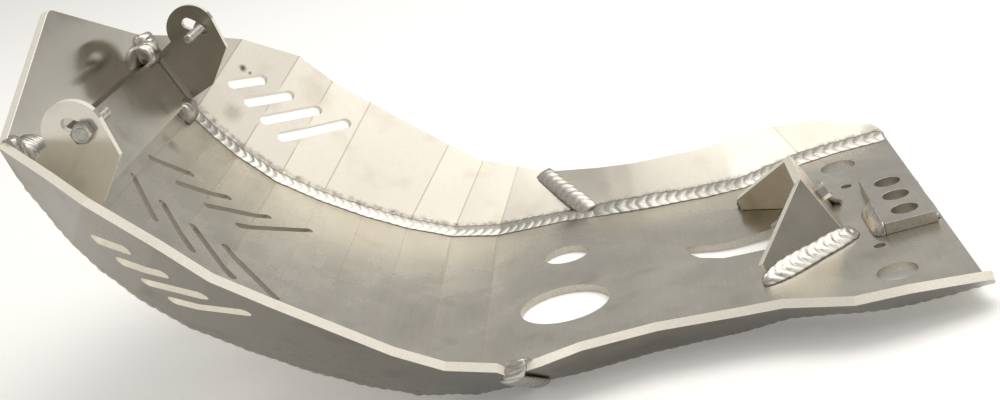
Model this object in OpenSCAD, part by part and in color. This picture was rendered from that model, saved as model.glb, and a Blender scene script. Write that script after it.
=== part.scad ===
// Motorcycle skid plate: a belly plate bent up at the front, welded side wings,
// a nose plate, a folded front bracket, a folded rear bracket and a drilled block.
// X runs rearward, Y to the right side of the bike, Z up. Sizes in mm.

/* [Sheet] */
// Thickness of the belly plate, the wings and the brackets
plate_t = 4.8; // [3:0.1:6]
// Inside radius of the shallow bends in the belly plate
bend_r = 9; // [4:0.5:16]
// Gap left between sheets before they are welded
root_gap = 0.2; // [0.1:0.05:0.6]

/* [Belly plate] */
// Length of the rear section, from its bend to the rear edge
rear_len = 127; // [115:1:150]
// Rise of the rear section against the middle section
rear_rise = 3.1; // [0:0.1:8]
// Length of the flat middle section
mid_len = 143; // [130:1:160]
// Distance between the bends of the curved front
fold_pitch = 31.6; // [27:0.1:36]
// Distance between the two closer bends near the nose
lip_pitch = 20.6; // [16:0.1:26]
// Length of the last flat below the nose plate
head_len = 46; // [42:0.5:52]
// Turn of the first bend of the curve
bend_1 = 11.3; // [8:0.1:15]
// Turn of the second bend
bend_2 = 12.3; // [8:0.1:15]
// Turn of the third bend
bend_3 = 5.6; // [3:0.1:10]
// Turn of the fourth bend
bend_4 = 4.1; // [2:0.1:9]
// Turn of the fifth bend
bend_5 = 3.5; // [2:0.1:9]
// Turn of the sixth bend
bend_6 = 10.5; // [6:0.1:14]
// Turn of the seventh bend
bend_7 = 6.9; // [4:0.1:10]
// Turn of the eighth bend
bend_8 = 4.2; // [2:0.1:8]
// Turn of the ninth bend, below the nose
bend_9 = 10.7; // [6:0.1:14]

/* [Outline] */
// Half width of the belly plate below the nose plate
half_nose = 125; // [116:0.5:130]
// Half width of the curved front
half_front = 120.5; // [110:0.5:128]
// Half width where the plate starts to narrow
half_joint = 121; // [112:0.5:124]
// Half width halfway along the middle section
half_mid = 112.5; // [106:0.5:120]
// Half width at the waist
half_waist = 107; // [100:0.5:112]
// Half width at the fold of the rear wing
half_fold = 125; // [116:0.5:127]
// Half width at the rear edge
half_end = 127.5; // [120:0.5:134]
// Distance of the waist behind the rear bend
waist_x = 26; // [16:1:36]
// Distance of the rear wing fold behind the rear bend
fold_x = 71; // [60:1:80]
// Distance of the halfway point in front of the rear bend
mid_x = 45; // [30:1:60]
// Distance in front of the rear bend where the plate starts to narrow
shoulder_x = 94; // [84:1:104]

/* [Front wings] */
// Height of the wing over the plate at the first bend
rise_1 = 31; // [24:0.5:38]
// Height at the third bend
rise_3 = 47; // [38:0.5:54]
// Height at the fifth bend
rise_5 = 58.5; // [50:0.5:64]
// Height at the seventh bend
rise_7 = 63.5; // [54:0.5:70]
// Height at the ninth bend
rise_9 = 44; // [36:0.5:52]
// Reach of the wing beyond the plate at the first bend
reach_1 = 45; // [38:0.5:52]
// Reach at the third bend
reach_3 = 56; // [48:0.5:62]
// Reach at the fifth bend
reach_5 = 65; // [56:0.5:72]
// Reach at the seventh bend
reach_7 = 71; // [62:0.5:76]
// Reach at the ninth bend
reach_9 = 52; // [44:0.5:58]
// How far the folds of the wing run back at the first bend
sweep_1 = 17; // [8:0.5:24]
// How far the folds run back at the fifth bend
sweep_5 = 8; // [2:0.5:14]
// How far the folds run forward at the ninth bend
sweep_9 = 16; // [8:0.5:22]
// Height of the wing over its foot at the nose
nose_rise = 17; // [12:0.5:22]

/* [Rear wings] */
// Height of the left wing at its joint
rise_left = 26; // [20:0.5:32]
// Height of the right wing at its joint
rise_right = 23.5; // [18:0.5:30]
// Reach of the wing at the joint
joint_reach = 43.5; // [36:0.5:50]
// Distance of the left joint between the wings in front of the rear bend
joint_left = 107; // [98:1:116]
// Distance of the right joint, which was cut further back
joint_right = 76; // [68:1:88]
// How far the left joint runs forward from foot to top
rake_left = 12; // [6:0.5:24]
// How far the right joint runs forward from foot to top
rake_right = 28; // [16:0.5:34]
// Height halfway along the middle section
mid_rise = 23; // [17:0.5:28]
// Reach halfway along the middle section
mid_reach = 26.5; // [20:0.5:34]
// Height at the waist
waist_rise = 22; // [16:0.5:28]
// Reach at the waist
waist_reach = 36; // [28:0.5:42]
// Height at the fold
fold_rise = 18.5; // [12:0.5:24]
// Reach at the fold
fold_reach = 30; // [22:0.5:36]
// How far the fold runs forward from foot to top
fold_rake = 14; // [6:0.5:20]
// Height at the rear end
end_rise = 9; // [6:0.5:14]
// Reach at the rear end
end_reach = 14.5; // [8:0.1:20]
// Radius of the rounded corner at the rear end of the right wing
round_right = 10; // [6:0.5:16]
// Radius of the corner at the rear end of the left wing
round_left = 4; // [2:0.5:10]
// How far the left wing stands out behind the belly plate
over_left = 3.4; // [0.2:0.2:6]

/* [Wing slots] */
// Width of the slots in the wings
wing_slot_w = 7.6; // [5:0.1:9]
// Length of the shortest slot between its end centres
wing_slot_short = 22; // [18:0.5:26]
// Growth in length from one slot to the next
wing_slot_step = 8.2; // [4:0.2:9]
// Distance from one slot to the next
wing_slot_pitch = 16.4; // [14:0.2:18]
// Turn of the slots against the edge of the plate
wing_slot_turn = 51; // [42:1:58]
// Height of the first slot over the foot of the wing
wing_slot_up = 41.5; // [38:0.5:46]
// Fall from one slot to the next
wing_slot_fall = 3.5; // [2:0.5:5]
// Distance of the first slot beyond the seventh bend
wing_slot_start = 32.5; // [28:0.5:36]

/* [Chevron slots] */
// Width of the slots in the curved front
chev_w = 5.2; // [3:0.1:6]
// Length of the first slot between its end centres
chev_short = 34.5; // [26:0.5:38]
// Growth in length from one slot to the next
chev_step = 7.2; // [4:0.1:8]
// Distance from one pair of slots to the next
chev_pitch = 22.6; // [18:0.1:26]
// Half the gap between the two slots of a pair
chev_gap = 19; // [14:0.5:24]
// Slant of the slots
chev_turn = 46; // [35:1:55]
// Distance of the first pair below the front bracket
chev_drop = 8; // [5:0.5:14]

/* [Openings] */
// Radius of the large drain hole
drain_r = 27; // [20:0.1:32]
// Distance of the large drain hole in front of the rear bend
drain_x = 95.2; // [85:0.1:105]
// Offset of the large drain hole to the left
drain_y = 32; // [20:0.5:40]
// Radius of the small drain hole
spout_r = 14.6; // [10:0.1:18]
// Offset of the small drain hole to the right
spout_y = 50; // [46:0.5:66]
// Radius of the holes near the rear edge
hand_r = 11.2; // [8:0.1:14]
// Half the distance between the holes near the rear edge
hand_y = 94; // [85:0.5:100]
// Distance of those holes behind the rear bend
hand_x = 88.7; // [80:0.5:100]
// Radius of the two small holes beside the block
peg_r = 3.3; // [2:0.1:5]
// Half the distance between the two small holes
peg_y = 53.6; // [48:0.2:58]
// Half width of the tapered slot at its wide end
taper_half = 16; // [10:0.5:18]
// Distance of the wide end behind the rear bend
taper_end = 50; // [40:1:56]
// Distance of the narrow end in front of the rear bend
taper_tip = 21; // [14:1:28]

/* [Nose plate] */
// Height of the peak over the corners of the nose plate
nose_peak = 46; // [36:0.5:56]
// Half the distance between the corners
nose_half = 127; // [118:0.5:132]
// Height of the corners over the lower edge
nose_side = 17; // [12:0.5:22]
// Radius of the rounded peak
nose_r = 16; // [8:0.5:24]
// Turn of the nose plate against the last flat
nose_turn = 13.6; // [8:0.2:18]

/* [Front bracket] */
// Width of the strip of the front bracket
strip_w = 37; // [32:0.5:42]
// Half the distance over the outside of the tabs
tab_half = 127.5; // [120:0.5:132]
// Radius of the rounded head of a tab
tab_r = 16.2; // [13:0.1:18]
// Height of the tab head over the strip
tab_reach = 35.5; // [30:0.5:40]
// Place of the tab head along the strip
tab_up = 38.5; // [34:0.5:42]
// Width of the slot in a tab
tab_slot_w = 7.2; // [6.6:0.1:9]
// Length of the slot between its end centres
tab_slot_l = 11; // [8:0.5:14]
// Inside radius of the folds between strip and tabs
tab_fold_r = 3.5; // [2:0.5:6]

/* [Bolts] */
// Thread diameter of the bolts
bolt_d = 6; // [5:0.5:6.5]
// Width across the flats of the bolt heads
head_af = 10; // [9:0.5:13]
// Height of the bolt heads
head_h = 4.2; // [3:0.1:6]
// Length of the tab bolts under the head
tab_bolt_l = 38; // [28:1:50]
// Length of the bracket bolt under the head
web_bolt_l = 34; // [24:1:40]
// Clearance of a bolt in its hole, on the diameter
bolt_clear = 0.4; // [0.2:0.1:0.8]

/* [Rear bracket] */
// Half width of the web at its foot
web_half = 29.3; // [24:0.5:34]
// Length of the web along its slope
web_h = 43.6; // [36:0.2:48]
// Lean of the web toward the front
web_lean = 24.7; // [15:0.5:35]
// Distance of the web's foot behind the rear bend
web_x = 74; // [66:0.5:78]
// Flare of the flanges against the length of the bike
flange_flare = 35; // [25:0.5:42]
// Narrowing of the web from foot to top, on each side
web_narrow = 5.5; // [2:0.5:10]
// Length of a flange along its foot
flange_l = 61.5; // [52:0.5:70]
// Height of a flange at its tip
flange_tip = 10.4; // [5:0.2:14]
// Lift of the bracket over the belly plate
bracket_lift = 0.3; // [0.2:0.1:1]

/* [Rear block] */
// Length of the block along the bike
block_l = 29.8; // [24:0.2:36]
// Width of the block
block_w = 82; // [70:1:96]
// Height of the block
block_h = 6.7; // [4:0.1:12]
// Distance from the rear edge of the plate to the block
block_back = 3.4; // [2:0.2:8]
// Radius of the three bores
block_bore = 7.8; // [5:0.1:9]
// Distance between the bores
block_pitch = 24.8; // [20:0.2:28]

/* [Welds] */
// Leg of the seam welds inside
seam_leg = 5.6; // [4:0.1:8]
// Distance between two ripples
ripple = 6.4; // [4:0.2:10]
// Height of the ripples as a share of the bead
ripple_h = 0.12; // [0.02:0.01:0.25]
// Leg of the welds along the rear bracket
flange_leg = 10.4; // [6:0.2:12]
// Width of the weld over the wing joints
joint_w = 11; // [7:0.5:14]

/* [Hidden] */
eps = 0.01;

// Slopes and corner points of the belly plate, from the rear bend forward
turns = [bend_1, bend_2, bend_3, bend_4, bend_5, bend_6, bend_7, bend_8, bend_9];
flats = [mid_len, fold_pitch, fold_pitch, fold_pitch, fold_pitch, fold_pitch, fold_pitch,
    lip_pitch, lip_pitch, head_len];
last = len(turns);
function slope(i) = i == 0 ? 0 : slope(i - 1) + turns[i - 1];
function along(a) = [-cos(a), sin(a)];
function over(a) = [sin(a), cos(a)];
function corner(i) = i == 0 ? [0, 0] : corner(i - 1) + flats[i - 1] * along(slope(i - 1));
corners = [for (i = [0:last + 1]) corner(i)];
slopes = [for (i = [0:last]) slope(i)];
rear_end = rear_len * [cos(rear_rise), sin(rear_rise)];

// One side of the sheet: each corner becomes two points at the ends of its bend
function bend_pts(i, drop, r) =
    let (a = i == 0 ? -rear_rise : slopes[i - 1], b = slopes[i], h = (b - a) / 2,
         c = corners[i] - drop / cos(h) * over((a + b) / 2), d = r * tan(h))
    [c - d * along(a), c + d * along(b)];
function side_pts(drop, r) = concat(
    [rear_end - drop * over(-rear_rise)],
    [for (i = [0:last]) each bend_pts(i, drop, r)],
    [corners[last + 1] - drop * over(slopes[last])]);
function backward(v) = [for (i = [len(v) - 1:-1:0]) v[i]];
top_line = side_pts(0, bend_r);
under_line = side_pts(plate_t, bend_r + plate_t);
plate_side = concat(top_line, backward(under_line));

// Height of the upper face and half width of the plate at a given place
top_table = backward(top_line);
function top_at(x) = lookup(x, top_table);
head = corners[last + 1];
nose_dir = [-cos(slopes[last] + nose_turn), 0, sin(slopes[last] + nose_turn)];
nose_over = [sin(slopes[last] + nose_turn), 0, cos(slopes[last] + nose_turn)];
half_table = [[head[0], half_nose], [corners[5][0], half_front], [corners[2][0], half_front],
    [-shoulder_x, half_joint], [-mid_x, half_mid], [waist_x, half_waist], [fold_x, half_fold],
    [fold_x + 22, half_end], [rear_end[0], half_end]];
function half_at(x) = lookup(x, half_table);
function foot(x) = [x, half_at(x), top_at(x)];

// Moves a piece from the plate's own frame to the floor, with the middle of the part at X = 0
shift_x = -(rear_end[0] + over_left + head[0] - plate_t * nose_over[0]
    + (nose_side + nose_peak + 2 * root_gap) * nose_dir[0]) / 2;
module placed() { translate([shift_x, 0, plate_t]) children(); }
module mirrored(on) { mirror([0, on ? 1 : 0, 0]) children(); }

// Lofts rows of equal length into a closed solid
module loft(rows) {
    n = len(rows);
    m = len(rows[0]);
    pts = [for (r = rows) each r];
    walls = [for (i = [0:n - 2], j = [0:m - 1])
        let (k = (j + 1) % m, a = i * m + j, b = i * m + k, c = (i + 1) * m + k, d = (i + 1) * m + j)
        each [[a, b, c], [a, c, d]]];
    caps = [for (j = [1:m - 2]) each [[0, j + 1, j], [(n - 1) * m, (n - 1) * m + j, (n - 1) * m + j + 1]]];
    skin = concat(walls, caps);
    // faces run clockwise seen from outside, whichever way the rows were listed
    size = sum_of([for (f = skin) pts[f[0]] * cross(pts[f[1]], pts[f[2]])]);
    polyhedron(pts, size > 0 ? [for (f = skin) [f[2], f[1], f[0]]] : skin, convexity = 6);
}
function sum_of(v) = v * [for (x = v) 1];

function unit(v) = v / norm(v);
function flat_over(i) = [over(slopes[i])[0], 0, over(slopes[i])[1]];
function mean_slope(i) = i == 0 ? 0 : (slopes[i - 1] + slopes[min(i, last)]) / 2;

// Upper edge of the front wing over bend number i, and over points between bends
rises = [[1, rise_1], [3, rise_3], [5, rise_5], [7, rise_7], [9, rise_9]];
reaches = [[1, reach_1], [3, reach_3], [5, reach_5], [7, reach_7], [9, reach_9]];
sweeps = [[1, -sweep_1], [3, -sweep_1 + 2], [5, -sweep_5], [7, 7], [9, sweep_9]];
function eased(i, table) = (lookup(i - 0.5, table) + 2 * lookup(i, table) + lookup(i + 0.5, table)) / 4;
function fold_at(i) = let (k = floor(i)) i == k ? corners[k] : (corners[k] + corners[k + 1]) / 2;
function fold_slope(i) = let (k = floor(i)) i == k ? mean_slope(k) : slopes[k];
function fold_top(i) =
    let (p = fold_at(i), a = fold_slope(i), q = p + eased(i, rises) * over(a) + eased(i, sweeps) * along(a))
    [q[0], half_at(p[0]) + eased(i, reaches), q[1]];
// The two joints between the wings aren't opposite each other: k is 1 on the right and -1 on the left
function joint_x(k) = k > 0 ? joint_right : joint_left;
function joint_rise(k) = k > 0 ? rise_right : rise_left;
function joint_foot(k) = foot(-joint_x(k));
function joint_top(k) = joint_foot(k) + [k > 0 ? -rake_right : -rake_left, joint_reach, joint_rise(k)];
nose_foot = foot(head[0] + 0.6);
nose_corner = [head[0], nose_half, head[1]] + nose_side * nose_dir;
brow_foot = foot(corners[last][0] + 0.45 * (head[0] - corners[last][0]));
brow_top = 0.42 * nose_corner + 0.58 * fold_top(last) + [0, 1, 1];
folds = [1, 2, 3, 5, 6, 7, 9];
function panel_top(i) = len(search(i, folds)) > 0 ? fold_top(i) : (fold_top(i - 1) + fold_top(i + 1)) / 2;
function shoulder(on) = on ? [foot(-shoulder_x)] : [];
function front_feet(k) = concat([joint_foot(k)], shoulder(joint_x(k) < shoulder_x),
    [for (i = [1:last]) foot(fold_at(i)[0])], [brow_foot, nose_foot]);
function shoulder_top(k) = joint_top(k)
    + (fold_top(1) - joint_top(k)) * (shoulder_x - joint_x(k)) / (mid_len - joint_x(k));
function front_tops(k) = concat([joint_top(k)], joint_x(k) < shoulder_x ? [shoulder_top(k)] : [],
    [for (i = [1:last]) panel_top(i)], [brow_top, nose_corner + [0, 1.5, 0]]);
function slot_row(k) = len(front_feet(k)) - 5;

// Upper edge of the rear wing
function mid_joint(k) = -(mid_x + joint_x(k)) / 2;
function end_round(k) = k > 0 ? round_right : round_left;
function tail_x(k) = rear_end[0] + (k > 0 ? 0 : over_left);
function round_x(k) = tail_x(k) - end_round(k);
function rear_xs(k) = concat([tail_x(k), tail_x(k) - 0.12 * end_round(k), tail_x(k) - 0.5 * end_round(k), round_x(k),
    fold_x + 22, fold_x, (fold_x + waist_x) / 2, waist_x, 0, -mid_x, mid_joint(k)],
    joint_x(k) > shoulder_x ? [-shoulder_x] : [], [-joint_x(k)]);
function rake_table(k) = [[-joint_x(k), k > 0 ? -rake_right : -rake_left], [mid_joint(k), -6], [-mid_x, 3], [0, 3],
    [waist_x, -3], [fold_x, -fold_rake], [tail_x(k), 0]];
function lift_table(k) = [[-joint_x(k), joint_rise(k)], [-mid_x, mid_rise], [waist_x, waist_rise],
    [fold_x, fold_rise], [fold_x + 22, fold_rise - 2], [round_x(k), end_rise],
    [tail_x(k) - 0.5 * end_round(k), end_rise * 0.86], [tail_x(k) - 0.12 * end_round(k), end_rise * 0.5],
    [tail_x(k), end_rise * 0.25]];
function span_table(k) = [[-joint_x(k), joint_reach], [mid_joint(k), mid_reach + 3.5],
    [-mid_x, mid_reach], [0, (mid_reach + waist_reach) / 2], [waist_x, waist_reach],
    [fold_x, fold_reach], [fold_x + 22, fold_reach - 5.5], [round_x(k), end_reach],
    [tail_x(k) - 0.5 * end_round(k), end_reach * 0.86], [tail_x(k) - 0.12 * end_round(k), end_reach * 0.5],
    [tail_x(k), end_reach * 0.25]];
function rear_top(x, k) = foot(x) + [lookup(x, rake_table(k)), lookup(x, span_table(k)), lookup(x, lift_table(k))];
function rear_feet(k) = [for (x = rear_xs(k)) foot(x)];
function rear_tops(k) = [for (x = rear_xs(k)) rear_top(x, k)];

// Outward direction across a wing at row i
function wing_out(feet, tops, i) =
    let (n = len(feet), a = max(0, i - 1), b = min(n - 1, i + 1),
         run = unit(feet[b] + tops[b] - feet[a] - tops[a]))
    unit(cross(run, unit(tops[i] - feet[i])));
function wing_rows(feet, tops) = [for (i = [0:len(feet) - 1])
    let (o = wing_out(feet, tops, i) * plate_t, u = unit(tops[i] - feet[i]) * root_gap,
         f = feet[i] + [0, root_gap, 0] + u)
    [f, tops[i], tops[i] + o, f + o]];

module slot(l, w, depth) {
    translate([0, 0, -depth]) {
        cylinder(h = 2 * depth, d = w, $fn = 32);
        translate([l, 0, 0]) cylinder(h = 2 * depth, d = w, $fn = 32);
        translate([0, -w / 2, 0]) cube([l, w, 2 * depth]);
    }
}

// Turns X onto the direction d and Z onto the direction o, which are at right angles
module aligned(d, o) {
    e = cross(o, d);
    rotate([atan2(e[2], o[2]), -asin(d[2]), atan2(d[1], d[0])]) children();
}

module front_wing(k) {
    color("gainsboro") difference() {
        loft(wing_rows(front_feet(k), front_tops(k)));
        wing_slots(k);
    }
}

// Four slots, each longer than the one before it
module wing_slots(k) {
    feet = front_feet(k);
    row = slot_row(k);
    out = unit(cross(feet[row + 2] - feet[row], panel_top(7) - feet[row]));
    side = unit(cross(out, cross(feet[row + 1] - feet[row - 1], out)));
    rise = cross(out, side) * (cross(out, side)[2] > 0 ? 1 : -1);
    lay = -cos(wing_slot_turn) * side + sin(wing_slot_turn) * rise;
    for (n = [0:3])
        translate(feet[row] + rise * (wing_slot_up - n * wing_slot_fall) + side * (wing_slot_start - n * wing_slot_pitch))
            aligned(lay, out) slot(wing_slot_short + n * wing_slot_step, wing_slot_w, 14);
}

module rear_wing(k) {
    color("gainsboro") loft(wing_rows(rear_feet(k), rear_tops(k)));
}

// Belly plate: bent side profile cut to its outline, then drilled and slotted
module plate_outline() {
    polygon(concat([for (p = half_table) [p[0], -p[1]]], backward(half_table)));
}
module chevrons() {
    start = head_len - strip_w - chev_drop;
    for (k = [0:3]) {
        l = chev_short + k * chev_step;
        s = start - k * chev_pitch;
        chev_at(s, l);
    }
}
// Point on the curved front, s up from the ninth bend, with the slope there
function down_front(s, i) = s >= 0 || i == 0 ? [i, s] : down_front(s + flats[i - 1], i - 1);
module chev_at(s, l) {
    at = down_front(s, last);
    mid = down_front(s - l * cos(chev_turn) * 0.5 - 2, last);
    p = corners[at[0]] + at[1] * along(slopes[at[0]]);
    a = slopes[mid[0]];
    translate([p[0], 0, p[1]]) rotate([0, a, 0]) for (side = [-1, 1])
        translate([0, side * chev_gap, 0]) rotate(side * (90 - chev_turn))
            slot(l, chev_w, 16);
}
module tapered_slot() {
    r = 6;
    tip = 4.5;
    linear_extrude(30, center = true) {
        polygon([[-taper_tip, tip * 2.6], [-taper_tip + 9, -tip * 0.8], [2, -taper_half * 0.76],
            [12, -taper_half * 0.87], [30, -taper_half], [taper_end - r, -taper_half],
            [taper_end, -taper_half + r], [taper_end, taper_half - r],
            [taper_end - r, taper_half], [30, taper_half * 0.88], [10, taper_half * 0.7],
            [0, taper_half * 0.78], [-taper_tip + 4, tip * 4.1], [-taper_tip, tip * 3.8]]);
    }
}
module in_rear() { rotate([0, -rear_rise, 0]) children(); }
module main_plate() {
    color("silver") difference() {
        intersection() {
            rotate([90, 0, 0]) linear_extrude(400, center = true) polygon(plate_side);
            translate([0, 0, -100]) linear_extrude(500) plate_outline();
        }
        translate([-drain_x, -drain_y, -20]) cylinder(h = 40, r = drain_r, $fn = 96);
        translate([-drain_x + 0.8, spout_y, -20]) cylinder(h = 40, r = spout_r, $fn = 72);
        in_rear() {
            for (side = [-1, 1]) {
                translate([hand_x, side * hand_y, -20]) cylinder(h = 40, r = hand_r, $fn = 64);
                translate([hand_x - 1.5, side * peg_y, -20]) cylinder(h = 40, r = peg_r, $fn = 32);
            }
            block_bores();
            tapered_slot();
        }
        chevrons();
    }
}

// Nose plate: a low peak standing on the upper end of the belly plate
module nose_plate() {
    peak = nose_side + nose_peak;
    foot_half = half_nose - 3;
    flank = atan2(nose_peak, nose_half);
    drop = nose_r / cos(flank);
    color("silver") translate([head[0], 0, head[1]])
        rotate([0, -90 + (slopes[last] + nose_turn), 0]) translate([0, 0, root_gap * 2])
        rotate([90, 0, 90]) translate([0, 0, -plate_t]) linear_extrude(plate_t)
        union() {
            intersection() {
                polygon([[-foot_half, 0], [foot_half, 0], [nose_half, nose_side],
                    [0, peak], [-nose_half, nose_side]]);
                translate([-200, 0]) square([400, peak - drop + nose_r * cos(flank)]);
            }
            translate([0, peak - drop]) circle(r = nose_r, $fn = 64);
        }
}

// Frame of the front bracket: x up along the strip, z away from the belly plate
module on_head() {
    s = slopes[last];
    base = corners[last + 1] - strip_w * along(s);
    translate([base[0], 0, base[1]]) rotate([0, s - 180, 0]) mirror([0, 0, 1])
        translate([0, 0, root_gap]) children();
}
tab_slot_dir = [-0.85, 0.53];
tab_slot_top = [tab_up + 4.4, tab_reach + 0.6];
bolt_place = tab_slot_top + 9.1 * tab_slot_dir;
module tab_side() {
    difference() {
        polygon(concat([[0, -1], [0, plate_t + 20], [15, tab_reach + 12.5]],
            [for (q = [104:-6:-88]) [tab_up, tab_reach] + tab_r * [cos(q), sin(q)]],
            [[strip_w, plate_t], [strip_w, -1]]));
        translate(tab_slot_top) rotate(atan2(tab_slot_dir[1], tab_slot_dir[0])) {
            circle(d = tab_slot_w, $fn = 32);
            translate([tab_slot_l, 0]) circle(d = tab_slot_w, $fn = 32);
            translate([0, -tab_slot_w / 2]) square([tab_slot_l, tab_slot_w]);
        }
    }
}
// Section of the folded strip: flat in the middle, a rounded fold and a tab at each end
function fold_arc(c, r, from) = [for (q = [0:10]) c + r * [cos(from + q * 9), sin(from + q * 9)]];
module u_section() {
    r = tab_fold_r + plate_t;
    half = tab_half - r;
    polygon(concat([[-tab_half, 75]], fold_arc([-half, r], r, 180), fold_arc([half, r], r, 270),
        [[tab_half, 75], [tab_half - plate_t, 75]], backward(fold_arc([half, r], tab_fold_r, 270)),
        backward(fold_arc([-half, r], tab_fold_r, 180)), [[-tab_half + plate_t, 75]]));
}
module front_bracket() {
    color("silver") on_head() intersection() {
        rotate([90, 0, 0]) linear_extrude(400, center = true) tab_side();
        translate([-10, 0, 0]) rotate([90, 0, 90]) linear_extrude(90) u_section();
    }
}

// Hexagon bolt along Z, with the underside of the head at 0 and the thread going down
module hex_bolt(l) {
    difference() {
        union() {
            cylinder(h = head_h, d = head_af / cos(30), $fn = 6);
            translate([0, 0, -l]) cylinder(h = l, d = bolt_d, $fn = 40);
        }
        translate([0, 0, head_h - 0.6]) difference() {
            cylinder(h = 2, d = head_af * 2, $fn = 40);
            translate([0, 0, -eps]) cylinder(h = 1, d1 = head_af * 1.14, d2 = head_af * 0.9, $fn = 40);
        }
    }
}
module tab_bolt() {
    color("lightsteelblue") on_head() translate([bolt_place[0], tab_half, bolt_place[1]])
        rotate([-90, 0, 0]) translate([0, 0, 0.05]) hex_bolt(tab_bolt_l);
}

// Folded rear bracket: a leaning web with two flared flanges
web_top_half = web_half - web_narrow;
web_edge = [-web_h * sin(web_lean), web_narrow, web_h * cos(web_lean)];
flange_run = [-cos(flange_flare), -sin(flange_flare), 0];
flange_lean = atan2(sin(flange_flare) * -web_edge[0] + cos(flange_flare) * web_narrow, web_edge[2]);
flange_up = [-sin(flange_flare) * sin(flange_lean), cos(flange_flare) * sin(flange_lean), cos(flange_lean)];
flange_in = cross(flange_run, flange_up);
module flange() {
    translate([web_x, -web_half, bracket_lift]) aligned(flange_run, flange_in)
        linear_extrude(plate_t) polygon([[0.4, 0], [web_edge * flange_run + 0.4, web_edge * flange_up],
            [flange_l, flange_tip], [flange_l, 0]]);
}
module rear_bracket() {
    color("silver") in_rear() difference() {
        union() {
            translate([web_x, 0, bracket_lift]) rotate([0, -web_lean, 0]) rotate([90, 0, 90])
                translate([0, 0, -plate_t]) linear_extrude(plate_t)
                polygon([[-web_half, 0], [web_half, 0], [web_top_half, web_h], [-web_top_half, web_h]]);
            flange();
            mirror([0, 1, 0]) flange();
        }
        web_hole(bolt_d + bolt_clear);
        translate([0, -100, bracket_lift - 20]) cube([200, 200, 20]);
    }
}
web_bolt_up = 0.49;
module web_hole(d) {
    translate([web_x, 0, bracket_lift]) rotate([0, -web_lean, 0])
        translate([-20, 0, web_bolt_up * web_h]) rotate([0, 90, 0]) cylinder(h = 40, d = d, $fn = 40);
}
module bracket_bolt() {
    color("lightsteelblue") in_rear() translate([web_x, 0, bracket_lift]) rotate([0, -web_lean, 0])
        translate([0.05, 0, web_bolt_up * web_h]) rotate([0, 90, 0]) hex_bolt(web_bolt_l);
}

// Drilled block near the rear edge
block_x = rear_len - block_back - block_l;
module block_bores() {
    for (k = [-1:1]) translate([block_x + block_l / 2, k * block_pitch, -20])
        cylinder(h = 60, r = block_bore, $fn = 64);
}
module rear_block() {
    color("silver") in_rear() difference() {
        translate([block_x, -block_w / 2, root_gap / 2]) cube([block_l, block_w, block_h]);
        block_bores();
    }
}

// Weld bead swept along a corner. Each row of path holds a point in the corner and the
// two directions that the legs of the bead follow.
function run_lengths(path, i = 0, sum = 0) = i >= len(path) ? [] :
    concat([sum], run_lengths(path, i + 1, sum + (i + 1 < len(path) ? norm(path[i + 1][0] - path[i][0]) : 0)));
function pick(path, runs, s, k) = [for (c = [0:2]) lookup(s, [for (i = [0:len(path) - 1]) [runs[i], path[i][k][c]]])];
module bead(path, leg, from = 0, to = 0, fill = 1, per = 2) {
    runs = run_lengths(path);
    a = from;
    b = to > 0 ? to : runs[len(runs) - 1] - 0.5;
    n = max(3, ceil((b - a) / ripple) * per);
    rows = [for (i = [0:n])
        let (s = a + (b - a) * i / n, p = pick(path, runs, s, 0), u = unit(pick(path, runs, s, 1)),
             v = unit(pick(path, runs, s, 2)), end = min(1, 0.35 + 1.3 * min(i, n - i)),
             w = end * (1 + ripple_h * (i % per == 0 ? 1 : -0.6)), l = leg * min(1, 0.5 + end / 2),
             g = 0.15)
        [p + g * (u + v), p + l * u + g * v, p + l * w * fill * (0.74 * u + 0.42 * v),
         p + l * w * fill * (0.42 * u + 0.74 * v), p + g * u + l * v]];
    loft(rows);
}
function seam_path(feet, tops) = [for (i = [0:len(feet) - 1])
    [feet[i] + [0, root_gap, 0], [0, -1, 0], unit(tops[i] - feet[i])]];
function edge_path(feet, tops) = [for (i = [0:len(feet) - 1])
    [feet[i] + [0, root_gap / 2, 0] - 0.2 * plate_down(i, feet), plate_down(i, feet), wing_out(feet, tops, i)]];
function plate_down(i, feet) = let (a = feet[max(0, i - 1)], b = feet[min(len(feet) - 1, i + 1)],
    s = atan2(b[2] - a[2], -(b[0] - a[0]))) [-sin(s), 0, -cos(s)];

module front_seam_weld(k) {
    color("white") bead(backward(seam_path(front_feet(k), front_tops(k))), seam_leg, from = strip_w - 2);
}
module rear_seam_weld(k) {
    color("white") bead(seam_path(rear_feet(k), rear_tops(k)), seam_leg, from = tail_x(k) - rear_end[0] + 0.5);
}
module front_edge_weld(k) {
    color("white") bead(backward(edge_path(front_feet(k), front_tops(k))), plate_t - 0.3, fill = 0.84, from = 4);
}
module rear_edge_weld(k) {
    color("white") bead(edge_path(rear_feet(k), rear_tops(k)), plate_t - 0.3, fill = 0.84,
        from = tail_x(k) - rear_end[0] + 0.5);
}

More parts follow.
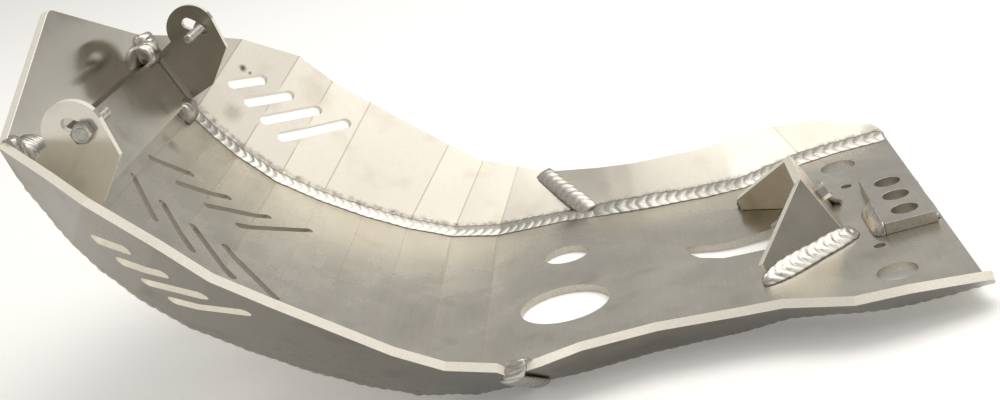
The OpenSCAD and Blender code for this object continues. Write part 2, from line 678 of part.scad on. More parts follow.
module half_bead(a, b, side, up, w, h, per = 2) {
    l = norm(b - a);
    n = max(3, ceil(l / ripple) * per);
    rows = [for (i = [0:n]) let (t = i / n, e = min(1, 0.4 + 0.9 * min(i, n - i)),
        k = e * (1 + ripple_h * (i % per == 0 ? 1 : -0.6)), p = a + (b - a) * t)
        [for (q = [0:6]) p + side * (w / 2 * e * cos(180 - q * 30)) + up * (h * k * sin(q * 30) + 0.25)]];
    loft(rows);
}
module joint_weld(k) {
    low = joint_foot(k);
    high = joint_top(k);
    run = unit(high - low);
    out = unit(wing_out(rear_feet(k), rear_tops(k), len(rear_feet(k)) - 1) + wing_out(front_feet(k), front_tops(k), 0));
    side = unit(cross(run, out));
    // the inner bead on the left lies further back, clear of the kink in the front wing
    back = k > 0 ? [0, 0] : [2, 5];
    up = -out * (k > 0 ? 1.1 : 1.4);
    color("white") {
        half_bead(low + run * 7 - side * back[0] + up, high - run * 0.5 - side * back[1] + up,
            side, -out, joint_w, 2.9);
        half_bead(low + run * 5 + out * (plate_t + 0.5), high - run * 0.5 + out * (plate_t + 0.5),
            -side, out, joint_w * 0.8, 1.8);
    }
}
module nose_weld() {
    low = [head[0], 0, head[1]] + (plate_t + root_gap) * flat_over(last);
    high = [head[0], 0, head[1]] + 9.5 * nose_dir;
    across = unit(high - low);
    mid = (low + high) / 2;
    color("white") half_bead(mid + [0, tab_half - 20, 0], mid + [0, tab_half - 3.5, 0], across,
        cross([0, 1, 0], across), norm(high - low) + 1, 4.6);
}
module tab_weld() {
    s = slopes[last];
    base = corners[last + 1] - strip_w * along(s);
    p = [base[0], tab_half - 9, base[1]] + flat_over(last) * 1;
    d = [-along(s)[0], 0, -along(s)[1]];
    color("white") half_bead(p + [0, -12, 0] + d * 5.5, p + [0, 2, 0] + d * 5.5, d, flat_over(last), 11, 4.6);
}
module flange_weld() {
    out = [sin(flange_flare), -cos(flange_flare), 0];
    p0 = [web_x, -web_half, 0.1] + 0.25 * out;
    path = [for (s = [-6, 20, 40, 60, flange_l + 5]) [p0 + flange_run * s, out, flange_up]];
    color("white") in_rear() bead(path, flange_leg, to = flange_l + 10, per = 2);
}
module block_front_weld() {
    path = [for (y = [-40, -20, -8]) [[block_x - 0.1, y, 0.1], [-1, 0, 0], [0, 0, 1]]];
    color("white") in_rear() bead(path, block_h * 0.9);
}
module block_rear_weld() {
    path = [for (y = [38, 0, -36]) [[block_x + block_l + 0.1, y, 0.1], [1, 0, 0], [0, 0, 1]]];
    color("white") in_rear() bead(path, block_back * 0.95);
}

placed() main_plate();
placed() nose_plate();
placed() front_bracket();
placed() mirrored(true) front_wing(-1);  // front_wing_left
placed() front_wing(1);  // front_wing_right
placed() mirrored(true) rear_wing(-1);  // rear_wing_left
placed() rear_wing(1);  // rear_wing_right
placed() rear_bracket();
placed() rear_block();
placed() mirrored(true) tab_bolt();  // tab_bolt_left
placed() tab_bolt();  // tab_bolt_right
placed() bracket_bolt();
placed() mirrored(true) front_seam_weld(-1);  // front_seam_weld_left
placed() front_seam_weld(1);  // front_seam_weld_right
placed() mirrored(true) rear_seam_weld(-1);  // rear_seam_weld_left
placed() rear_seam_weld(1);  // rear_seam_weld_right
placed() mirrored(true) front_edge_weld(-1);  // front_edge_weld_left
placed() front_edge_weld(1);  // front_edge_weld_right
placed() mirrored(true) rear_edge_weld(-1);  // rear_edge_weld_left
placed() rear_edge_weld(1);  // rear_edge_weld_right
placed() mirrored(true) joint_weld(-1);  // joint_weld_left
placed() joint_weld(1);  // joint_weld_right
placed() mirrored(true) nose_weld();  // nose_weld_left
placed() nose_weld();  // nose_weld_right
placed() mirrored(true) tab_weld();  // tab_weld_left
placed() tab_weld();  // tab_weld_right
placed() flange_weld();  // flange_weld_left
placed() mirrored(true) flange_weld();  // flange_weld_right
placed() block_front_weld();
placed() block_rear_weld();
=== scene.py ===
# Motorcycle skid plate: a belly plate bent up at the front with welded side wings, a nose plate,
# two folded brackets and a drilled block, all in bare aluminium as it left the shop.
# The sizes are in millimetres and are turned to metres where a mesh is made.
import bpy
import bmesh
import math
import random
from mathutils import Matrix, Vector, noise


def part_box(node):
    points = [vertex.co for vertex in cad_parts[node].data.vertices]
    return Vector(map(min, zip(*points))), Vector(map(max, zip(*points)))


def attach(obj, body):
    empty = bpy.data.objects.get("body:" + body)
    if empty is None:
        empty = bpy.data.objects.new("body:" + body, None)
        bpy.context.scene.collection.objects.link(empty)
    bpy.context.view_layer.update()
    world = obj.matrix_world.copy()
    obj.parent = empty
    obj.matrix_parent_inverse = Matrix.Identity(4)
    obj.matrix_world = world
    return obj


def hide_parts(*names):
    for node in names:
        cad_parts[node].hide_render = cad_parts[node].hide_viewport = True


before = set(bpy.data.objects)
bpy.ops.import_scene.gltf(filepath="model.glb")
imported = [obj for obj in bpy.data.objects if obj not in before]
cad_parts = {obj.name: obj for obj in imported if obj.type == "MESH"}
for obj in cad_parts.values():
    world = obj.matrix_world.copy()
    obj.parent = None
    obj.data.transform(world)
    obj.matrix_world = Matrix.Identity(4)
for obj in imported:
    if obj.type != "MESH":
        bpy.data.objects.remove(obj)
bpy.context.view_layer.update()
random.seed(11)
rad = math.radians


# small tools

def hexColour(code, alpha=1.0):
    # sRGB hex to linear
    parts = [int(code[i:i + 2], 16) / 255 for i in (1, 3, 5)]
    return tuple(c / 12.92 if c <= 0.04045 else ((c + 0.055) / 1.055) ** 2.4 for c in parts) + (alpha,)


def addNode(tree, kind, settings=None, links=None):
    # one node, its settings by socket or property name, and what feeds it
    made = tree.nodes.new(kind)
    for key, value in (settings or {}).items():
        if isinstance(key, int) or key in made.inputs:
            made.inputs[key].default_value = value
        else:
            setattr(made, key, value)
    for key, source in (links or {}).items():
        tree.links.new(source, made.inputs[key])
    return made


def lookUp(x, table):
    # straight lines between the points of a table
    rows = sorted(table)
    if x <= rows[0][0]:
        return rows[0][1]
    for (xa, va), (xb, vb) in zip(rows, rows[1:]):
        if x <= xb:
            return va + (vb - va) * (x - xa) / max(xb - xa, 1e-9)
    return rows[-1][1]


def blend(a, b, t):
    return a + (b - a) * t


def bumpy(p, size):
    # smooth noise from 0 to 1 with features of the given size in mm
    return 0.5 + 0.5 * noise.noise(Vector(p) / size)


def newPiece(name, verts, faces, materials, kinds=None, marks=None, smooth=True):
    # object from plain lists: kinds is the material of each face, marks are values on the vertices
    mesh = bpy.data.meshes.new(name)
    mesh.from_pydata(verts, [], faces)
    for mat in materials:
        mesh.materials.append(mat)
    if kinds:
        mesh.polygons.foreach_set("material_index", kinds)
    for label, values in (marks or {}).items():
        layer = mesh.attributes.new(label, "FLOAT", "POINT")
        layer.data.foreach_set("value", values)
    work = bmesh.new()
    work.from_mesh(mesh)
    bmesh.ops.recalc_face_normals(work, faces=work.faces)
    work.to_mesh(mesh)
    work.free()
    if smooth:
        mesh.shade_smooth()
    obj = bpy.data.objects.new(name, mesh)
    bpy.context.collection.objects.link(obj)
    return obj


# camera, floor and light

viewer = {"place": (94.92, -849.2, 334.3), "heading": -0.138, "drop": 0.297, "roll": 0.305,
          "tilt": rad(3.1), "lens": 53.748}


def setCamera():
    h, d, r = viewer["heading"], viewer["drop"], viewer["roll"]
    ahead = Vector((math.sin(h) * math.cos(d), math.cos(h) * math.cos(d), -math.sin(d)))
    level = Vector((math.cos(h), -math.sin(h), 0))
    down = ahead.cross(level)
    right = level * math.cos(r) + down * math.sin(r)
    below = down * math.cos(r) - level * math.sin(r)
    lean = Matrix.Rotation(-viewer["tilt"], 3, "Y")
    axes = [lean @ right, lean @ -below, lean @ -ahead]
    data = bpy.data.cameras.new("photoView")
    data.lens = viewer["lens"]
    data.sensor_width = 36
    data.clip_start = 0.05
    cam = bpy.data.objects.new("photoView", data)
    bpy.context.collection.objects.link(cam)
    turn = Matrix(axes).transposed().to_4x4()
    turn.translation = Vector(viewer["place"]) / 1000
    cam.matrix_world = turn
    bpy.context.scene.camera = cam


studio = {"floor": "#F6F5F2", "half": 9.0, "zenith": 0.62, "horizon": 0.44, "glow": 0.17,
          "lamps": [("overheadSoftbox", (0.75, 0.5, 1.9), (0, 0.1, 0), 1.9, 26.0),
                    ("sideSoftbox", (1.9, -0.9, 1.5), (0.1, 0, 0.05), 1.2, 6.0)]}


def setStudio():
    bpy.context.scene.view_settings.view_transform = "Standard"
    mesh = bpy.data.meshes.new("paleFloor")
    w = studio["half"]
    mesh.from_pydata([(-w, -w, 0), (w, -w, 0), (w, w, 0), (-w, w, 0)], [], [(0, 1, 2, 3)])
    floor = bpy.data.objects.new("paleFloor", mesh)
    bpy.context.collection.objects.link(floor)
    mat = bpy.data.materials.new("mattPaperFloor")
    mat.use_nodes = True
    shade = mat.node_tree.nodes["Principled BSDF"]
    shade.inputs["Base Color"].default_value = hexColour(studio["floor"])
    shade.inputs["Roughness"].default_value = 0.9
    shade.inputs["Specular IOR Level"].default_value = 0.1
    # a little light of its own, as a light table has, keeps the shadows pale
    shade.inputs["Emission Color"].default_value = hexColour("#FFFFFF")
    shade.inputs["Emission Strength"].default_value = studio["glow"]
    mesh.materials.append(mat)

    # a soft room: bright overhead, dimmer toward the horizon
    world = bpy.data.worlds.new("softRoom")
    bpy.context.scene.world = world
    world.use_nodes = True
    tree = world.node_tree
    where = addNode(tree, "ShaderNodeTexCoord")
    split = addNode(tree, "ShaderNodeSeparateXYZ", {}, {0: where.outputs["Generated"]})
    ramp = addNode(tree, "ShaderNodeMapRange",
                   {"From Max": 0.9, "To Min": studio["horizon"], "To Max": studio["zenith"]},
                   {"Value": split.outputs["Z"]})
    back = tree.nodes["Background"]
    back.inputs["Color"].default_value = hexColour("#FFFDF9")
    tree.links.new(ramp.outputs["Result"], back.inputs["Strength"])

    for name, place, aim, size, power in studio["lamps"]:
        data = bpy.data.lights.new(name, "AREA")
        data.shape = "SQUARE"
        data.size = size
        data.energy = power
        data.color = hexColour("#FFFDFA")[:3]
        lamp = bpy.data.objects.new(name, data)
        bpy.context.collection.objects.link(lamp)
        lamp.location = place
        lamp.rotation_euler = (Vector(place) - Vector(aim)).to_track_quat("Z", "Y").to_euler()


setCamera()
setStudio()
print("camera and studio set")


# materials

# the crease colour is a painted shade along the bends of the wings
sheetLook = {"lineLength": 34, "lineShare": 0.38, "cloud": 55, "tone": (0.4, 0.9), "speck": 1.1,
             "speckShare": 0.2, "stain": 21, "stainFrom": 0.58, "stainFull": 0.80, "creaseShade": "#8A7D62",
             "sootAndShade": "#4A3F36", "smut": "#4F4538", "ragged": 4.2, "sootGain": 3.4, "sootDrop": -2.05,
             "relief": 0.0003}
weldLook = {"spatter": 1.3, "sootAndShade": "#453B33", "clean": 0.3, "sooty": 0.62, "relief": 0.0003}
edgeLook = {"line": 0.9, "shine": (0.34, 0.5), "relief": 0.0002}
boltLook = {"patch": 3.0, "grey": "#A7A9AB", "yellow": "#C6C2B2", "shine": (0.24, 0.42), "relief": 0.0002}


def perMm(size):
    # noise scale, in features per metre, for features of the given size in mm
    return 1000 / size


def newMetal(name, metallic=1.0):
    # a material, its node tree, its shader and the object's own coordinates
    mat = bpy.data.materials.new(name)
    mat.use_nodes = True
    shade = mat.node_tree.nodes["Principled BSDF"]
    shade.inputs["Metallic"].default_value = metallic
    where = addNode(mat.node_tree, "ShaderNodeTexCoord").outputs["Object"]
    return mat, mat.node_tree, shade, where


def rolledSheet(name, pale, dark, stain, rough, grainMm, bump=0.12, stains=0.5, smuts=()):
    # EN AW-5754 aluminium sheet, mill rolled: a fine grain along the bends, faint clouds, a few stains
    mat, tree, shade, where = newMetal(name)
    look = sheetLook
    # grain lines are really 0.1 mm apart, drawn coarser so that they show
    stretch = addNode(tree, "ShaderNodeMapping",
                      {"Scale": (perMm(grainMm), perMm(look["lineLength"]), perMm(grainMm))},
                      {"Vector": where})
    lines = addNode(tree, "ShaderNodeTexNoise", {"Scale": 1.0, "Detail": 3.0, "Roughness": 0.62},
                    {"Vector": stretch.outputs["Vector"]})
    clouds = addNode(tree, "ShaderNodeTexNoise",
                     {"Scale": perMm(look["cloud"]), "Detail": 4.0, "Roughness": 0.6}, {"Vector": where})
    speck = addNode(tree, "ShaderNodeTexNoise", {"Scale": perMm(look["speck"]), "Detail": 2.0},
                    {"Vector": where})
    mixed = addNode(tree, "ShaderNodeMath", {"operation": "MULTIPLY_ADD", 1: look["lineShare"]},
                    {0: lines.outputs["Fac"], 2: clouds.outputs["Fac"]})
    tone = addNode(tree, "ShaderNodeMapRange", {"From Min": look["tone"][0], "From Max": look["tone"][1]},
                   {"Value": mixed.outputs["Value"]})
    base = addNode(tree, "ShaderNodeMix", {"data_type": "RGBA", 6: hexColour(dark), 7: hexColour(pale)},
                   {0: tone.outputs["Result"]})
    spots = addNode(tree, "ShaderNodeTexNoise",
                    {"Scale": perMm(look["stain"]), "Detail": 1.5, "Roughness": 0.45}, {"Vector": where})
    spotMask = addNode(tree, "ShaderNodeMapRange",
                       {"From Min": look["stainFrom"], "From Max": look["stainFull"], "To Max": stains},
                       {"Value": spots.outputs["Fac"]})
    stained = addNode(tree, "ShaderNodeMix", {"data_type": "RGBA", 7: hexColour(stain)},
                      {0: spotMask.outputs["Result"], 6: base.outputs[2]})
    # soot beside the welds and a painted shade along the lines of the bends come from marks that the mesh
    # carries
    marks = addNode(tree, "ShaderNodeAttribute", {"attribute_name": "sootAndShade"})
    ragged = addNode(tree, "ShaderNodeTexNoise",
                     {"Scale": perMm(look["ragged"]), "Detail": 5.0, "Roughness": 0.72}, {"Vector": where})
    mask = addNode(tree, "ShaderNodeMath",
                   {"operation": "MULTIPLY_ADD", 1: look["sootGain"], 2: look["sootDrop"]},
                   {0: ragged.outputs["Fac"]})
    sooty = addNode(tree, "ShaderNodeMath", {"operation": "ADD", "use_clamp": True},
                    {0: mask.outputs["Value"], 1: marks.outputs["Fac"]})
    sootAmount = addNode(tree, "ShaderNodeMath", {"operation": "MULTIPLY", "use_clamp": True},
                         {0: sooty.outputs["Value"], 1: marks.outputs["Fac"]})
    # the bend mark darkens the wing's bends with the crease colour: painted shade
    foldShade = addNode(tree, "ShaderNodeAttribute", {"attribute_name": "foldShadeMark"})
    creaseShaded = addNode(tree, "ShaderNodeMix", {"data_type": "RGBA", 7: hexColour(look["creaseShade"])},
                      {0: foldShade.outputs["Fac"], 6: stained.outputs[2]})
    skin = addNode(tree, "ShaderNodeMix", {"data_type": "RGBA", 7: hexColour(look["sootAndShade"])},
                   {0: sootAmount.outputs["Value"], 6: creaseShaded.outputs[2]})
    # smuts of burnt oil at known places: middle and reach in mm, ragged at the rim
    for middle, across, depth in smuts:
        off = addNode(tree, "ShaderNodeVectorMath", {"operation": "DISTANCE", 1: [c / 1000 for c in middle]},
                      {0: where})
        frayed = addNode(tree, "ShaderNodeMath",
                         {"operation": "MULTIPLY_ADD", 1: across / 1200, 2: -across / 2400},
                         {0: ragged.outputs["Fac"]})
        total = addNode(tree, "ShaderNodeMath", {"operation": "ADD"},
                        {0: off.outputs["Value"], 1: frayed.outputs["Value"]})
        near = addNode(tree, "ShaderNodeMapRange",
                       {"From Min": across / 1000, "From Max": across / 4000, "To Max": depth},
                       {"Value": total.outputs["Value"]})
        skin = addNode(tree, "ShaderNodeMix", {"data_type": "RGBA", 7: hexColour(look["smut"])},
                       {0: near.outputs["Result"], 6: skin.outputs[2]})
    tree.links.new(skin.outputs[2], shade.inputs["Base Color"])
    # the clouds also carry the shine, a little duller where they are pale
    shine = addNode(tree, "ShaderNodeMapRange",
                    {"From Min": 0.3, "From Max": 0.7, "To Min": rough - 0.04, "To Max": rough + 0.07},
                    {"Value": clouds.outputs["Fac"]})
    tree.links.new(shine.outputs["Result"], shade.inputs["Roughness"])
    height = addNode(tree, "ShaderNodeMath", {"operation": "MULTIPLY_ADD", 1: look["speckShare"]},
                     {0: speck.outputs["Fac"], 2: lines.outputs["Fac"]})
    relief = addNode(tree, "ShaderNodeBump", {"Strength": bump, "Distance": look["relief"]},
                     {"Height": height.outputs["Value"]})
    tree.links.new(relief.outputs["Normal"], shade.inputs["Normal"])
    return mat


def weldMetal(name, pale, dark):
    # ER5356 filler laid by hand with a torch: bright crests, valleys darkened with painted shade, sooty
    # edges
    mat, tree, shade, where = newMetal(name)
    look = weldLook
    fine = addNode(tree, "ShaderNodeTexNoise",
                   {"Scale": perMm(look["spatter"]), "Detail": 4.0, "Roughness": 0.65}, {"Vector": where})
    tone = addNode(tree, "ShaderNodeMapRange", {"From Min": 0.3, "From Max": 0.7},
                   {"Value": fine.outputs["Fac"]})
    base = addNode(tree, "ShaderNodeMix", {"data_type": "RGBA", 6: hexColour(dark), 7: hexColour(pale)},
                   {0: tone.outputs["Result"]})
    # the soot mark is real soot at the rims and painted shade in the ripple valleys
    marks = addNode(tree, "ShaderNodeAttribute", {"attribute_name": "sootAndShade"})
    sootedAndShaded = addNode(tree, "ShaderNodeMix", {"data_type": "RGBA", 7: hexColour(look["sootAndShade"])},
                    {0: marks.outputs["Fac"], 6: base.outputs[2]})
    tree.links.new(sootedAndShaded.outputs[2], shade.inputs["Base Color"])
    shine = addNode(tree, "ShaderNodeMapRange", {"To Min": look["clean"], "To Max": look["sooty"]},
                    {"Value": marks.outputs["Fac"]})
    tree.links.new(shine.outputs["Result"], shade.inputs["Roughness"])
    relief = addNode(tree, "ShaderNodeBump", {"Strength": 0.25, "Distance": look["relief"]},
                     {"Height": fine.outputs["Fac"]})
    tree.links.new(relief.outputs["Normal"], shade.inputs["Normal"])
    return mat


def patchyMetal(name, dark, pale, pattern, spread, look, bump, metallic=1.0):
    # one noise pattern that mixes two tones and also carries the shine and the relief
    mat, tree, shade, where = newMetal(name, metallic)
    patches = addNode(tree, "ShaderNodeTexNoise", pattern, {"Vector": where})
    tone = addNode(tree, "ShaderNodeMapRange", {"From Min": spread[0], "From Max": spread[1]},
                   {"Value": patches.outputs["Fac"]})
    base = addNode(tree, "ShaderNodeMix", {"data_type": "RGBA", 6: hexColour(dark), 7: hexColour(pale)},
                   {0: tone.outputs["Result"]})
    tree.links.new(base.outputs[2], shade.inputs["Base Color"])
    shine = addNode(tree, "ShaderNodeMapRange", {"To Min": look["shine"][0], "To Max": look["shine"][1]},
                    {"Value": patches.outputs["Fac"]})
    tree.links.new(shine.outputs["Result"], shade.inputs["Roughness"])
    relief = addNode(tree, "ShaderNodeBump", {"Strength": bump, "Distance": look["relief"]},
                     {"Height": patches.outputs["Fac"]})
    tree.links.new(relief.outputs["Normal"], shade.inputs["Normal"])
    return mat


def cutEdge(name, pale, dark, metallic):
    # the same sheet where a laser or a cutter went through it: bright, faintly uneven along the edge; the
    # pale laser-cut copy also paints a highlight along the rims
    pattern = {"Scale": perMm(edgeLook["line"]), "Detail": 3.0, "Roughness": 0.6}
    return patchyMetal(name, dark, pale, pattern, (0.3, 0.7), edgeLook, 0.05, metallic)


def zincSteel(name):
    # cold headed steel with a thin zinc plating: bluish grey, faintly yellow in patches
    pattern = {"Scale": perMm(boltLook["patch"]), "Detail": 4.0}
    return patchyMetal(name, boltLook["grey"], boltLook["yellow"], pattern, (0.35, 0.65), boltLook, 0.1)


rolledPlate = rolledSheet("rolledPlateAluminium", "#D2CEC4", "#BEBAAF", "#9B9080", 0.25, 1.6, 0.015, 0.3,
                          [((-212.8, 58.0, 131.0), 9.0, 0.45)])
rolledNose = rolledSheet("rolledNoseAluminium", "#C6C2B8", "#B6B2A8", "#8F8576", 0.1, 1.2, 0.01, 0.12)
rolledTab = rolledSheet("rolledBracketAluminium", "#E6E2D8", "#D6D1C6", "#9C8F7C", 0.2, 1.2, 0.015, 0.3)
# a darker copy of the bracket sheet for the far tab: painted shade
shadedTab = rolledSheet("shadedTabAluminium", "#A49E92", "#959084", "#767060", 0.24, 1.2, 0.03, 0.4)
# the near flange in a darker copy of the bracket sheet: painted shade; the web and the far flange in a
# lighter warm copy: painted light
shadedFlange = rolledSheet("shadedFlangeAluminium", "#A09B90", "#8E897E", "#6E6557", 0.24, 1.2, 0.02, 0.3)
litFlange = rolledSheet("litWarmFlangeAluminium", "#D9CFBA", "#C6BBA4", "#8C7F64", 0.24, 1.2, 0.02, 0.4)
rolledWing = rolledSheet("rolledWingAluminium", "#D6D1C6", "#C6C1B6", "#A3967F", 0.5, 1.6, 0.12, 0.3,
                         [((-181.8, 164.3, 148.8), 3.4, 0.9), ((-178.1, 164.8, 144.1), 1.6, 0.8),
                          ((-191.0, 140.0, 124.5), 9.0, 0.3), ((234.0, 136.0, 16.5), 11.0, 0.35)])
# a darker copy of the wing sheet for the outside faces: painted shade
shadedSkin = rolledSheet("shadedOutsideAluminium", "#958F85", "#817C72", "#655E52", 0.28, 1.5, 0.06)
# a darker copy of the plate sheet for the bends and the crease: painted shade
shadedBend = rolledSheet("shadedBendAluminium", "#C9C4B9", "#B8B2A6", "#968B7A", 0.3, 1.6, 0.03)
# a darker, duller copy of the sheet for the bracket's fold, the nose plate's edge in the groove and the
# crease: painted shade
shadedFold = rolledSheet("shadedFoldAluminium", "#8E887B", "#7E786C", "#655D51", 0.45, 1.0, 0.03)
# the laser-cut edge is its own pale finish, kept paler and half diffuse so the rims show as bright lines:
# partly a painted highlight
laserEdgeWithHighlight = cutEdge("laserCutHighlightedAluminium", "#F4EFE3", "#E6E0D2", 0.3)
boredEdge = cutEdge("boredAluminium", "#CFCABE", "#AFA99D", 0.95)
weldBright = weldMetal("torchWeldAluminium", "#CCC9C2", "#A5A199")
zincBolt = zincSteel("zincPlatedSteel")
print("materials made")


# drawing of the sheets

sheet = {"thickness": 4.8, "bendRadius": 9.0, "gap": 0.2}
belly = {"rear": 127.0, "rearRise": 3.1, "flats": [143.0] + [31.6] * 6 + [20.6, 20.6, 46.0],
         "turns": [11.3, 12.3, 5.6, 4.1, 3.5, 10.5, 6.9, 4.2, 10.7]}
outline = {"nose": 125.0, "front": 120.5, "joint": 121.0, "mid": 112.5, "waist": 107.0, "fold": 125.0,
           "end": 127.5, "waistX": 26.0, "foldX": 71.0, "midX": 45.0, "shoulderX": 94.0}
nosePlate = {"peak": 46.0, "half": 127.0, "side": 17.0, "turn": 13.6}


def alongSlope(a):
    return Vector((-math.cos(a), 0, math.sin(a)))


def overSlope(a):
    return Vector((math.sin(a), 0, math.cos(a)))


slopes = [0.0]
for turn in belly["turns"]:
    slopes.append(slopes[-1] + rad(turn))
corners = [Vector((0, 0, 0))]
for slopeNow, flat in zip(slopes, belly["flats"]):
    corners.append(corners[-1] + flat * alongSlope(slopeNow))
lastFlat = len(belly["turns"])
head = corners[-1]
noseRun = alongSlope(slopes[-1] + rad(nosePlate["turn"]))
noseOver = overSlope(slopes[-1] + rad(nosePlate["turn"]))
rearRise = rad(belly["rearRise"])
rearEnd = belly["rear"] * Vector((math.cos(rearRise), 0, math.sin(rearRise)))


def topLine():
    # upper face of the belly plate, two points at each bend
    r = sheet["bendRadius"]
    pts = [(rearEnd.x, rearEnd.z)]
    for i in range(lastFlat + 1):
        a = -rearRise if i == 0 else slopes[i - 1]
        b = slopes[i]
        d = r * math.tan((b - a) / 2)
        for q in (corners[i] - d * alongSlope(a), corners[i] + d * alongSlope(b)):
            pts.append((q.x, q.z))
    return pts + [(head.x, head.z)]


topPoints = topLine()
halfPoints = [(head.x, outline["nose"]), (corners[5].x, outline["front"]), (corners[2].x, outline["front"]),
              (-outline["shoulderX"], outline["joint"]), (-outline["midX"], outline["mid"]),
              (outline["waistX"], outline["waist"]), (outline["foldX"], outline["fold"]),
              (outline["foldX"] + 22, outline["end"]), (rearEnd.x, outline["end"])]


def footAt(x):
    return Vector((x, lookUp(x, halfPoints), lookUp(x, topPoints)))


frontWing = {"rise": [(1, 31.0), (3, 47.0), (5, 58.5), (7, 63.5), (9, 44.0)],
             "reach": [(1, 45.0), (3, 56.0), (5, 65.0), (7, 71.0), (9, 52.0)],
             "sweep": [(1, -17.0), (3, -15.0), (5, -8.0), (7, 7.0), (9, 16.0)],
             "folds": (1, 2, 3, 5, 6, 7, 9), "browX": 0.45, "browIn": 0.42, "browOut": Vector((0, 1, 1)),
             "noseLap": 0.6, "noseOut": Vector((0, 1.5, 0))}
rearWing = {"jointX": {1: 76.0, -1: 107.0}, "rake": {1: 28.0, -1: 12.0}, "rise": {1: 23.5, -1: 26.0},
            "reach": 43.5, "midRise": 23.0, "midReach": 26.5, "waistRise": 22.0, "waistReach": 36.0,
            "foldRise": 18.5, "foldReach": 30.0, "foldRake": 14.0, "endRise": 9.0, "endReach": 14.5,
            "afterFold": 22, "round": {1: 10.0, -1: 4.0}, "over": {1: 0.0, -1: 3.4},
            "corner": [(1.0, 1.0), (0.5, 0.86), (0.12, 0.5), (0, 0.25)]}
noseCorner = Vector((head.x, nosePlate["half"], head.z)) + nosePlate["side"] * noseRun
shiftX = -(rearEnd.x + rearWing["over"][-1] + head.x - sheet["thickness"] * noseOver.x
           + (nosePlate["side"] + nosePlate["peak"] + 2 * sheet["gap"]) * noseRun.x) / 2


def eased(i, table):
    return (lookUp(i - 0.5, table) + 2 * lookUp(i, table) + lookUp(i + 0.5, table)) / 4


def foldTop(i):
    a = (slopes[i - 1] + slopes[min(i, lastFlat)]) / 2
    p = corners[i]
    q = p + eased(i, frontWing["rise"]) * overSlope(a) + eased(i, frontWing["sweep"]) * alongSlope(a)
    return Vector((q.x, lookUp(p.x, halfPoints) + eased(i, frontWing["reach"]), q.z))


def jointLine(side):
    low = footAt(-rearWing["jointX"][side])
    return low, low + Vector((-rearWing["rake"][side], rearWing["reach"], rearWing["rise"][side]))


def frontRows(side):
    # foot and top of every fold from the joint to the nose, and whether the sheet is bent there
    low, high = jointLine(side)
    rows = [(low, high, False)]
    jx, sx = rearWing["jointX"][side], outline["shoulderX"]
    if jx < sx:
        rows.append((footAt(-sx), blend(high, foldTop(1), (sx - jx) / (belly["flats"][0] - jx)), False))
    for i in range(1, lastFlat + 1):
        bent = i in frontWing["folds"]
        top = foldTop(i) if bent else (foldTop(i - 1) + foldTop(i + 1)) / 2
        rows.append((footAt(corners[i].x), top, bent))
    w = frontWing
    browX = blend(corners[lastFlat].x, head.x, w["browX"])
    browTop = blend(foldTop(lastFlat), noseCorner, w["browIn"]) + w["browOut"]
    rows.append((footAt(browX), browTop, True))
    rows.append((footAt(head.x + w["noseLap"]), noseCorner + w["noseOut"], False))
    return rows


def rearRows(side):
    w = rearWing
    jx, rnd = w["jointX"][side], w["round"][side]
    tail = rearEnd.x + w["over"][side]
    midJoint = -(outline["midX"] + jx) / 2
    fx, wx, mx = outline["foldX"], outline["waistX"], outline["midX"]
    bx = fx + w["afterFold"]
    # the rounded rear corner: how much of the end's height and reach is left at each place
    ends = [(tail - part * rnd, k) for part, k in w["corner"]]
    xs = [x for x, k in reversed(ends)] + [bx, fx, (fx + wx) / 2, wx, 0, -mx, midJoint]
    if jx > outline["shoulderX"]:
        xs.append(-outline["shoulderX"])
    xs.append(-jx)
    rake = [(-jx, -w["rake"][side]), (midJoint, -6), (-mx, 3), (0, 3), (wx, -3), (fx, -w["foldRake"]),
            (tail, 0)]
    lift = [(-jx, w["rise"][side]), (-mx, w["midRise"]), (wx, w["waistRise"]), (fx, w["foldRise"]),
            (bx, w["foldRise"] - 2)] + [(x, w["endRise"] * k) for x, k in ends]
    span = [(-jx, w["reach"]), (midJoint, w["midReach"] + 3.5), (-mx, w["midReach"]),
            (0, (w["midReach"] + w["waistReach"]) / 2), (wx, w["waistReach"]), (fx, w["foldReach"]),
            (bx, w["foldReach"] - 5.5)] + [(x, w["endReach"] * k) for x, k in ends]
    rows = []
    for x in xs:
        foot = footAt(x)
        rows.append((foot, foot + Vector((lookUp(x, rake), lookUp(x, span), lookUp(x, lift))), x == fx))
    return rows


def rowOut(rows, i):
    # outward direction across a wing at row i
    a, b = rows[max(0, i - 1)], rows[min(len(rows) - 1, i + 1)]
    run = (b[0] + b[1] - a[0] - a[1]).normalized()
    return run.cross((rows[i][1] - rows[i][0]).normalized()).normalized()


def toModel(p, side=1):
    return Vector(((p.x + shiftX) / 1000, side * p.y / 1000, (p.z + sheet["thickness"]) / 1000))


def finishPiece(obj, nodes):
    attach(obj, "root")
    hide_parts(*nodes)


def baked(obj, extras=()):
    # the modifiers become the mesh, and the cutters go
    graph = bpy.context.evaluated_depsgraph_get()
    graph.update()
    mesh = bpy.data.meshes.new_from_object(obj.evaluated_get(graph))
    obj.modifiers.clear()
    old = obj.data
    obj.data = mesh
    bpy.data.meshes.remove(old)
    mesh.name = obj.name
    for e in extras:
        bpy.data.objects.remove(e)
    return obj


def softEdges(obj, width, edgeSlot=-1, angle=40):
    bevel = obj.modifiers.new("brokenEdge", "BEVEL")
    bevel.width = width / 1000
    bevel.segments = 2
    bevel.limit_method = "ANGLE"
    bevel.angle_limit = rad(angle)
    # the rounded edges take the cut-edge slot; on the laser-cut sheets its pale metal paints a highlight
    # along the rims as well
    bevel.material = edgeSlot
    bevel.use_clamp_overlap = True
    even = obj.modifiers.new("flatFaces", "WEIGHTED_NORMAL")
    even.keep_sharp = True


# wings

